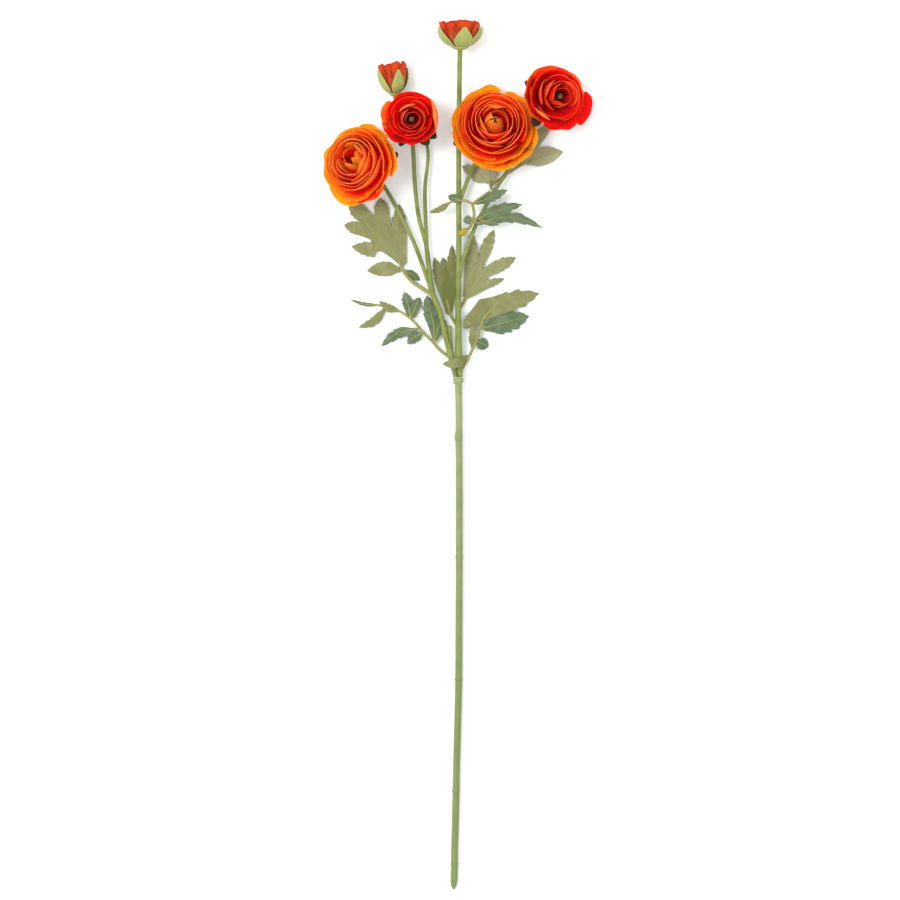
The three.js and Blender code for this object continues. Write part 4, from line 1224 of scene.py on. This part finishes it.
# the red faces and backs darken to a deep red far from the rim, a painted shade deep in the cup
red_cloth = petal_cloth(
    "red petal cloth",
    rim=dye(240, 78, 52),
    outer_rim=0.08,
    hollow_shade=dye(84, 2, 0),
    face=[(0, dye(238, 8, 6)), (7, dye(230, 2, 2)), (12, dye(206, 0, 0)), (18, dye(150, 0, 0))],
    back=[(0, dye(240, 40, 20)), (4, dye(214, 14, 8)), (12, dye(160, 0, 0))],
    amber_face=[(0, dye(255, 116, 36)), (5, dye(248, 84, 20)), (9, dye(234, 30, 8)), (15, dye(160, 0, 0))],
    amber_back=[(0, dye(255, 134, 70)), (5, dye(250, 108, 40)), (12, dye(226, 50, 14))],
)

# placed: azimuth, rim, height, closing, half angle and amber of single petals, from the outside in.
# heart: how far the innermost petals are shifted along the bloom's own X and Y.
# The lengths are shares of the bloom's radius and the angles are in degrees.
blooms = {
    "bloom_orange_left": {
        "cloth": orange_cloth,
        "seed": 11,
        "heart": (-0.07, 0.14),
        "spiral": {"count": 14, "turn": 40, "layers": (0.25, 0.7), "amber": (0.4, 0.15)},
        "placed": [
            (70, 1.0, 0.24, 0, 34, 1),
            (120, 0.97, 0.24, 0, 35, 1),
            (176, 1.04, 0.22, 0, 38, 1),
            (236, 1.04, 0.2, 0, 40, 1),
            (292, 0.95, 0.2, 0, 33, 0.1),
            (330, 0.88, 0.24, 0, 34, 0.8),
            (8, 0.98, 0.2, 0, 36, 1),
            (44, 0.97, 0.26, 0, 33, 1),
            (96, 0.9, 0.3, 0, 38, 0.8),
            (150, 0.87, 0.3, 0, 38, 0.8),
            (205, 0.92, 0.28, 0, 40, 0.8),
            (258, 0.92, 0.28, 0, 40, 0.8),
            (312, 0.82, 0.3, 0, 38, 0.5),
            (22, 0.9, 0.32, 0, 40, 0.9),
            (62, 0.9, 0.33, 0, 36, 0.8),
            (300, 0.62, 0.5, 0.03, 44, 0.8),
            (85, 0.38, 0.64, 0.1, 50, 0.8),
            (330, 0.38, 0.7, 0.12, 50, 0.9),
            (40, 0.32, 0.72, 0.1, 50, 0.8),
            (215, 0.34, 0.62, 0.1, 46, 0.8),
            (140, 0.22, 0.62, 0.02, 70, 0),
            (190, 0.2, 0.56, 0.02, 60, 0),
            (255, 0.18, 0.64, 0.18, 54, 0.8),
            (5, 0.2, 0.7, 0.14, 54, 0.9),
            (320, 0.06, 0.6, 0.2, 60, 0.9),
        ],
    },
    "bloom_orange_right": {
        "cloth": orange_cloth,
        "seed": 23,
        "heart": (0, 0.07),
        "spiral": {"count": 15, "turn": 122, "layers": (0.28, 0.74), "amber": (0.2, 0)},
        "placed": [
            (112, 1.0, 0.24, 0, 37, 1),
            (52, 0.93, 0.27, 0, 28, 1),
            (18, 0.92, 0.28, 0, 36, 1),
            (346, 0.97, 0.24, 0, 36, 1),
            (312, 0.98, 0.2, 0, 35, 1),
            (278, 0.97, 0.18, 0, 35, 1),
            (240, 0.93, 0.2, 0, 38, 1),
            (204, 0.94, 0.24, 0, 36, 1),
            (164, 0.97, 0.25, 0, 42, 1),
            (88, 0.79, 0.36, 0, 46, 0.6),
            (150, 0.92, 0.24, 0, 36, 1),
            (140, 0.87, 0.32, 0, 46, 0.6),
            (190, 0.84, 0.32, 0, 46, 0.8),
            (235, 0.83, 0.3, 0, 46, 0.9),
            (290, 0.86, 0.28, 0, 46, 1),
            (335, 0.86, 0.3, 0, 46, 1),
            (28, 0.82, 0.34, 0, 46, 0.5),
            (100, 0.33, 0.64, 0.03, 60, 0.1),
            (84, 0.24, 0.72, 0.46, 44, 0.45),
            (60, 0.24, 0.62, 0.04, 56, 0),
            (125, 0.2, 0.6, 0.04, 60, 0.2),
            (10, 0.28, 0.66, 0.12, 56, 0.1),
            (200, 0.3, 0.68, 0.12, 56, 0.3),
            (275, 0.09, 0.66, 0.3, 56, 0.25),
            (222, 0.02, 0.7, 0.4, 56, 0.5),
            (150, 0.02, 0.72, 0.46, 48, 0.95),
            (340, 0.01, 0.68, 0.36, 58, 0.7),
            (70, 0.03, 0.64, 0.26, 66, 0.2),
        ],
    },
    "bloom_red_small": {
        "cloth": red_cloth,
        "seed": 37,
        "heart": (0.09, -0.12),
        "spiral": {"count": 4, "turn": 60, "layers": (0.7, 0.92), "amber": (0.2, 0)},
        "placed": [
            (85, 0.93, 0.26, 0, 56, 0),
            (172, 0.99, 0.22, 0.02, 40, 1),
            (220, 0.98, 0.24, 0, 38, 0),
            (262, 0.91, 0.22, 0, 46, 0),
            (298, 0.92, 0.24, 0, 42, 0),
            (326, 0.96, 0.22, 0, 36, 0.2),
            (130, 0.86, 0.32, 0, 54, 0),
            (30, 0.82, 0.34, 0, 46, 0),
            (8, 0.78, 0.46, 0.56, 46, 1),
            (120, 0.74, 0.42, 0, 62, 0),
            (240, 0.76, 0.42, 0, 62, 0),
            (320, 0.74, 0.42, 0, 50, 0),
            (50, 0.62, 0.5, 0.02, 50, 0),
            (192, 0.61, 0.5, 0.02, 50, 0),
            (290, 0.6, 0.5, 0.02, 50, 0),
            (112, 0.4, 0.66, 0.26, 46, 0.8),
            (350, 0.5, 0.56, 0.02, 60, 0.2),
            (248, 0.5, 0.56, 0.02, 60, 0),
            (45, 0.4, 0.58, 0.02, 60, 0),
            (150, 0.3, 0.62, 0.14, 60, 0.4),
            (30, 0.3, 0.5, 0, 85, 0),
            (150, 0.28, 0.5, 0, 85, 0),
            (270, 0.26, 0.5, 0, 85, 0),
        ],
    },
    "bloom_red_right": {
        "cloth": red_cloth,
        "seed": 41,
        "heart": (0.2, 0),
        "spiral": {"count": 3, "turn": 150, "layers": (0.8, 0.92), "amber": (0, 0)},
        "placed": [
            (345, 1.27, 0.16, 0, 32, 0),
            (308, 1.04, 0.2, 0, 26, 0),
            (284, 0.96, 0.2, 0, 40, 0),
            (248, 0.87, 0.24, 0, 38, 0),
            (205, 0.91, 0.24, 0, 38, 0.6),
            (165, 0.92, 0.24, 0, 36, 0.5),
            (114, 0.94, 0.24, 0, 48, 0.6),
            (62, 0.87, 0.28, 0, 38, 0.1),
            (28, 0.97, 0.26, 0, 32, 1),
            (350, 0.9, 0.34, 0, 44, 0),
            (140, 0.8, 0.38, 0, 48, 0.2),
            (85, 0.79, 0.4, 0, 48, 0),
            (22, 0.84, 0.4, 0, 46, 0),
            (195, 0.82, 0.36, 0, 42, 0.2),
            (230, 0.7, 0.4, 0.22, 28, 1),
            (262, 0.72, 0.46, 0, 66, 0),
            (325, 0.74, 0.46, 0, 50, 0),
            (168, 0.62, 0.52, 0.02, 50, 0.2),
            (12, 0.66, 0.52, 0, 54, 0),
            (90, 0.62, 0.52, 0, 54, 0),
            (190, 0.5, 0.42, 0, 75, 0),
            (146, 0.46, 0.6, 0.05, 50, 0.25),
            (15, 0.54, 0.56, 0, 60, 0.2),
            (100, 0.42, 0.58, 0.02, 60, 0),
            (40, 0.44, 0.58, 0, 60, 0.1),
            (290, 0.28, 0.5, 0.12, 50, 0.3),
            (245, 0.22, 0.48, 0.1, 50, 0.2),
            (30, 0.34, 0.46, 0, 85, 0),
            (150, 0.32, 0.46, 0, 85, 0),
            (270, 0.3, 0.42, 0, 85, 0),
        ],
    },
}


def head_place(head):
    """Where a bloom or bud stands: its local Z runs out of the stem."""
    turn = Vector((0, 0, 1)).rotation_difference(lean_axis(head))
    return Matrix.Translation(head["foot"]) @ turn.to_matrix().to_4x4()


for name, bloom in blooms.items():
    head = heads[name]
    petals = spiral(seed=bloom["seed"], **bloom["spiral"]) + placed_petals(bloom["placed"], bloom["seed"])
    right, up = bloom["heart"]
    mesh = bloom_mesh(
        f"{name}_cloth", head["radius"], petals, bloom["cloth"], heart_to_the_right=right, heart_upwards=up
    )
    cloth = finished_piece(f"{name}_cloth", mesh, head_place(head))
    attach(cloth, "root")
    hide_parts(f"{name}_petals")
    "petal_orange" if "orange" in name else "petal_red"

# ---------------------------------------------------------------- bloom calyces
# Under each bloom a moulded cup takes the stem, and five sepals spread from it below the lowest
# petals. They are dark green plastic, and little of them shows from above.

cup_top = -0.8
cup_depth = 4.6
cup_share = 0.24  # of the bloom's radius
bloom_neck = side_stem_radius + 1.6
sepal_thickness = 0.6
sepal_drop = 1.9  # from the petals' side view to the sepals
cells_across, cells_along = 10, 16  # of a sepal


def sepal_sheet(surface, angle):
    """A sepal over surface(across, along), which gives its distance from the axis, height and turn."""
    points, faces, place, from_rim = [], [], [], []
    for row in range(cells_along + 1):
        for column in range(cells_across + 1):
            across, along = 2 * column / cells_across - 1, row / cells_along
            out, up, turn = surface(across, along)
            points.append((out * math.cos(angle + turn), out * math.sin(angle + turn), up))
            place.append((out * turn, along * 20, angle * 9))
            from_rim.append((1 - abs(across)) * abs(turn / across if across else 0.2) * out)
            if row and column:
                last = len(points) - 1
                below = last - cells_across - 1
                faces.append((below - 1, below, last, last - 1))
    return points, faces, place, from_rim


def lathe(profile, sides=24):
    """A closed round solid about the local Z axis from a profile of (radius, height) points."""
    points, faces = [], []
    for radius, height in profile:
        for side in range(sides):
            angle = 2 * math.pi * side / sides
            points.append((radius * math.cos(angle), radius * math.sin(angle), height))
    for ring in range(len(profile) - 1):
        for side in range(sides):
            a, b = ring * sides + side, ring * sides + (side + 1) % sides
            faces.append((a, a + sides, b + sides, b))
    faces.append(tuple(range(sides)))
    faces.append(tuple(reversed(range(len(points) - sides, len(points)))))
    return points, faces


def calyx_mesh(name, sheets, cup_radius, neck_radius, depth, material):
    """Joins the sepals' shells and the cup into one mesh."""
    points, faces, place, from_rim = [], [], [], []
    for sheet_points, sheet_faces, sheet_place, sheet_rim in sheets:
        start = len(points)
        points += sheet_points
        faces += [tuple(corner + start for corner in face) for face in sheet_faces]
        place += sheet_place
        from_rim += sheet_rim
    shell = closed_sheet(points, faces, {"place": place, "from_rim": from_rim}, sepal_thickness, name)
    cup_points, cup_faces = lathe(
        [
            (cup_radius * 0.5, cup_top),
            (cup_radius, cup_top),
            (cup_radius * 1.02, cup_top - 0.15 * depth),
            (cup_radius * 0.94, cup_top - 0.4 * depth),
            ((cup_radius + neck_radius) / 2 * 0.92, cup_top - 0.75 * depth),
            (neck_radius, cup_top - 0.92 * depth),
            (neck_radius * 0.94, cup_top - depth),
            (neck_radius * 0.6, cup_top - depth),
        ]
    )
    cup = bpy.data.meshes.new(f"{name}_cup")
    cup.from_pydata(cup_points, [], cup_faces)
    cup.shade_smooth()
    cup_rim = [cup_radius] * len(cup_points)
    cup.attributes.new("from_rim", "FLOAT", "POINT").data.foreach_set("value", cup_rim)
    cup_place = [value for point in cup_points for value in point]
    cup.attributes.new("place", "FLOAT_VECTOR", "POINT").data.foreach_set("vector", cup_place)
    shell.materials.append(material)
    cup.materials.append(material)
    pieces = [bpy.data.objects.new(mesh.name, mesh) for mesh in (shell, cup)]
    for piece in pieces:
        bpy.context.scene.collection.objects.link(piece)
    with bpy.context.temp_override(active_object=pieces[0], selected_editable_objects=pieces):
        bpy.ops.object.join()
    bpy.data.objects.remove(pieces[0])
    return shell


def sepal_plastic(name, light, dark, edge):
    material, tree, shader = new_material(name, 0.55, 0.35)
    place, _ = attribute(tree, "place")
    _, from_rim = attribute(tree, "from_rim")
    grain = add_node(tree, "ShaderNodeGroup", node_tree=plastic_grain).outputs
    streaks = add_node(tree, "ShaderNodeMapping", {"Vector": place, "Scale": (2.2, 0.12, 1)})
    inputs = {"Vector": streaks.outputs[0], "Scale": 1.0}
    vein = Term(tree, add_node(tree, "ShaderNodeTexNoise", inputs).outputs[0])
    colour = mixed(tree, smooth_step(vein, 0.35, 0.65), srgb(*light), srgb(*dark))
    colour = mixed(tree, (1 - smooth_step(from_rim, 0.2, 1.4)) * 0.6, colour, srgb(*edge))
    feed(tree, shader.inputs["Base Color"], colour)
    relief = vein + Term(tree, grain["Grain"]) * 0.3
    feed(tree, shader.inputs["Normal"], bumped(tree, relief, 0.5, 0.2))
    return material


dark_sepal_plastic = sepal_plastic("dark sepal plastic", (64, 70, 36), (38, 34, 18), (84, 78, 40))
# each bloom's sepals: azimuth in degrees, and reach along the lowest petals
sepals = {
    "bloom_orange_left": [(14, 0.79), (92, 0.6), (164, 0.6), (236, 0.6), (300, 0.5)],
    "bloom_orange_right": [(199, 0.77), (262, 0.62), (334, 0.62), (46, 0.6), (118, 0.6)],
    "bloom_red_small": [(250, 0.8), (303, 0.98), (322, 0.98), (110, 0.6), (182, 0.6)],
    "bloom_red_right": [(237, 0.86), (308, 0.55), (20, 0.55), (92, 0.6), (151, 0.66)],
}


def lowest_petal(rise):
    """The side view of the outermost petals, as shares of the bloom's radius."""
    left = 1 - rise
    parts = (left**3, 3 * left**2 * rise, 3 * left * rise**2, rise**3)
    out = sum(part * place for part, place in zip(parts, (0.05, 0.57, 0.88, 1)))
    up = sum(part * place for part, place in zip(parts, (0, 0.007, 0.07, 0.19)))
    return out, up


def below(side_view, rise, drop):
    """The distance from the axis and the height of the place that lies square below a side view."""
    out, up = side_view(rise)
    ahead_out, ahead_up = side_view(rise + 0.01)
    run = math.hypot(ahead_out - out, ahead_up - up)
    slope_out, slope_up = (ahead_out - out) / run, (ahead_up - up) / run
    return out + slope_up * drop, up - slope_out * drop


def bloom_sepal(radius, reach):
    def side_view(rise):
        return [radius * value for value in lowest_petal(rise)]

    def surface(across, along):
        rise = 0.08 + (reach - 0.03) * along * (1 - 0.12 * across**2)
        width = 0.05 + 0.21 * math.sin(math.pi * (0.12 + 0.82 * along))
        return *below(side_view, rise, sepal_drop), across * width

    return surface


for name, sepal_reaches in sepals.items():
    head = heads[name]
    sheets = [
        sepal_sheet(bloom_sepal(head["radius"], reach), math.radians(azimuth))
        for azimuth, reach in sepal_reaches
    ]
    mesh = calyx_mesh(
        f"{name}_sepals", sheets, cup_share * head["radius"], bloom_neck, cup_depth, dark_sepal_plastic
    )
    calyx = finished_piece(f"{name}_sepals", mesh, head_place(head))
    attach(calyx, "root")
    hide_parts(f"{name}_calyx")

# ---------------------------------------------------------------- eyes
# A beige-green button is glued in the middle of each bloom. It is a low plastic dome, flocked
# with small grains that stand out of it.


def eye_tree():
    """Covers a dome with small grains."""
    tree, given, result = new_tree(
        "flocked grains",
        "GeometryNodeTree",
        [
            ("Dome", "NodeSocketGeometry", None),
            ("Density", "NodeSocketFloat", 6.0),
            ("Grain radius", "NodeSocketFloat", 0.3),
            ("Material", "NodeSocketMaterial", None),
        ],
        [("Eye", "NodeSocketGeometry")],
    )
    spots = add_node(
        tree,
        "GeometryNodeDistributePointsOnFaces",
        {"Mesh": given["Dome"], "Density Max": given["Density"], "Distance Min": 0.28, "Seed": 3},
        distribute_method="POISSON",
    )
    grain = add_node(tree, "GeometryNodeMeshIcoSphere", {"Radius": given["Grain radius"], "Subdivisions": 1})
    inputs = {"Geometry": grain.outputs[0], "Scale": (0.8, 0.8, 1.6)}
    tall = add_node(tree, "GeometryNodeTransform", inputs).outputs[0]
    grains = add_node(
        tree,
        "GeometryNodeInstanceOnPoints",
        {"Points": spots.outputs["Points"], "Instance": tall, "Rotation": spots.outputs["Rotation"]},
    ).outputs[0]
    both = tree.nodes.new("GeometryNodeJoinGeometry")
    tree.links.new(grains, both.inputs[0])
    tree.links.new(given["Dome"], both.inputs[0])
    whole = add_node(tree, "GeometryNodeRealizeInstances", {"Geometry": both.outputs[0]}).outputs[0]
    whole = add_node(tree, "GeometryNodeSetShadeSmooth", {"Geometry": whole}).outputs[0]
    inputs = {"Geometry": whole, "Material": given["Material"]}
    feed(tree, result["Eye"], add_node(tree, "GeometryNodeSetMaterial", inputs).outputs[0])
    return tree


def eye_material():
    material, tree, shader = new_material("flocked eye", 0.85, 0.25, sheen=0.2)
    grain = add_node(tree, "ShaderNodeGroup", {"Blotch size": 420.0}, node_tree=plastic_grain).outputs
    blotch = smooth_step(Term(tree, grain["Blotch"]), 0.35, 0.65)
    colour = mixed(tree, blotch, srgb(158, 146, 90), srgb(92, 92, 48))
    feed(tree, shader.inputs["Base Color"], colour)
    feed(tree, shader.inputs["Normal"], bumped(tree, grain["Grain"], 0.5, 0.1))
    return material


flocked_eye = eye_material()
flocked_grains = eye_tree()
eye_height = 3.6
eye_clearance = 1.3
eye_width_share = 0.62  # of the room inside the innermost petals
eye_shift_share = 0.7  # of the heart's own shift
core_top = 0.3  # of the bloom's radius
# the dome's (radius, height) from the middle of its foot, as shares of the eye's
dome_profile = [(0.03, 0), (0.8, 0), (0.98, 0.2), (1, 0.4), (0.9, 0.65), (0.7, 0.85), (0.4, 0.97), (0.03, 1)]

for name in blooms:
    head = heads[name]
    eye_radius = eye_width_share * (inner_rim * head["radius"] - eye_clearance)
    floor = core_top * head["radius"] + gap
    dome_points, dome_faces = lathe([(eye_radius * r, floor + eye_height * h) for r, h in dome_profile])
    dome = bpy.data.meshes.new(f"{name}_button")
    dome.from_pydata(dome_points, [], [tuple(reversed(face)) for face in dome_faces])
    mesh = evaluated_mesh(dome, flocked_grains, f"{name}_button", material=flocked_eye)
    right, up = (eye_shift_share * shift * head["radius"] for shift in blooms[name]["heart"])
    eye = finished_piece(f"{name}_button", mesh, head_place(head) @ Matrix.Translation((right, up, 0)))
    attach(eye, "root")
    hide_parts(f"{name}_eye")

# ---------------------------------------------------------------- buds
# Two half-open buds lie on their sides. Coral cloth petals stand closed in a cup, and five pale
# green sepals of soft plastic clasp them.

bud_cup_depth = 3
bud_cup_share = 0.42  # of the bud's radius
bud_neck_wall = 1.1
bud_sepal_drop = 1.7
bud_seed = 5
bud_cloth = petal_cloth(
    "bud petal cloth",
    rim=dye(140, 26, 14),
    outer_rim=0.9,
    hollow_shade=dye(160, 28, 10),
    face=[(0, dye(182, 42, 18)), (12, dye(130, 16, 4))],
    back=[(0, dye(180, 40, 20)), (5, dye(190, 46, 22)), (10, dye(206, 76, 44)), (16, dye(214, 130, 80))],
    amber_face=[(0, dye(216, 76, 24)), (12, dye(150, 20, 4))],
    amber_back=[(0, dye(196, 66, 24)), (6, dye(212, 84, 34)), (16, dye(216, 140, 76))],
)
pale_sepal_plastic = sepal_plastic("pale sepal plastic", (186, 192, 116), (160, 172, 84), (204, 200, 134))

# placed: as for the blooms; height: of the closed petals; sepals: their azimuths in degrees
buds = {
    "bud_top": {
        "height": 20.5,
        "sepals": (-153, -78, -22, 55, 130),
        "sepal_flare": 0.2,
        "stem": bud_top_stem,
        "placed": [
            (90, 0.98, 1.2, 0, 50, 1),
            (150, 0.96, 1.16, 0, 46, 0.5),
            (30, 0.94, 1.18, 0, 46, 0.5),
            (-164, 1.0, 1.16, -0.1, 38, 0.2),
            (-14, 0.96, 1.14, 0, 44, 1),
            (-125, 0.86, 1.16, 0, 44, 0.2),
            (-68, 0.84, 1.24, 0, 62, 0.5),
            (120, 0.7, 1.2, 0, 60, 1),
            (0, 0.62, 1.22, 0, 60, 0.6),
            (-120, 0.55, 1.2, 0, 60, 0.6),
            (60, 0.4, 1.16, 0, 70, 0.5),
            (-60, 0.3, 1.12, 0, 70, 0.5),
        ],
    },
    "bud_side": {
        "height": 24.5,
        "sepals": (-142, -64, 30, 95, 160),
        "sepal_flare": 0.3,
        "stem": bud_side_stem,
        "placed": [
            (90, 1.0, 2.1, 0, 56, 1),
            (150, 0.98, 2.12, 0, 44, 0.5),
            (30, 1.0, 2.2, 0, 46, 0.5),
            (-156, 1.06, 2.1, -0.06, 46, 0.3),
            (-20, 1.04, 2.16, 0, 46, 0.8),
            (-118, 0.86, 2.06, 0, 40, 0.2),
            (-58, 0.84, 2.28, 0, 50, 0.6),
            (120, 0.7, 2.1, 0, 60, 1),
            (0, 0.6, 2.16, 0, 60, 0.6),
            (-120, 0.5, 2.0, 0, 60, 0.6),
            (60, 0.34, 2.0, 0, 70, 0.5),
        ],
    },
}


def bud_sepal(radius, bud):
    root, belly = (0.1 * radius, 0), (1.08 * radius, 0.08 * bud["height"])
    edge = (radius, 0.93 * bud["height"])

    def side_view(t):
        return [r * (1 - t) ** 2 + 2 * b * t * (1 - t) + e * t**2 for r, b, e in zip(root, belly, edge)]

    def surface(across, along):
        rise = 0.04 + 0.84 * along * (1 - 0.1 * across**2)
        drop = bud_sepal_drop + bud["sepal_flare"] * along**2
        width = 0.06 + 0.52 * math.sin(math.pi * (0.3 + 0.66 * along)) ** 0.8
        return *below(side_view, rise, drop), across * width

    return surface


for name, bud in buds.items():
    head = heads[name]
    radius = head["radius"]
    petals = placed_petals(bud["placed"], bud_seed)
    mesh = bloom_mesh(
        f"{name}_cloth", radius, petals, bud_cloth, ruffle=0.03, root_width=0.72, shoulder_width=1.0
    )
    cloth = finished_piece(f"{name}_cloth", mesh, head_place(head))
    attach(cloth, "root")
    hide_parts(f"{name}_petals")

    sheets = [sepal_sheet(bud_sepal(radius, bud), math.radians(azimuth)) for azimuth in bud["sepals"]]
    bud_neck = bud["stem"] + bud_neck_wall
    mesh = calyx_mesh(
        f"{name}_sepals", sheets, bud_cup_share * radius, bud_neck, bud_cup_depth, pale_sepal_plastic
    )
    calyx = finished_piece(f"{name}_sepals", mesh, head_place(head))
    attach(calyx, "root")
    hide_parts(f"{name}_calyx")
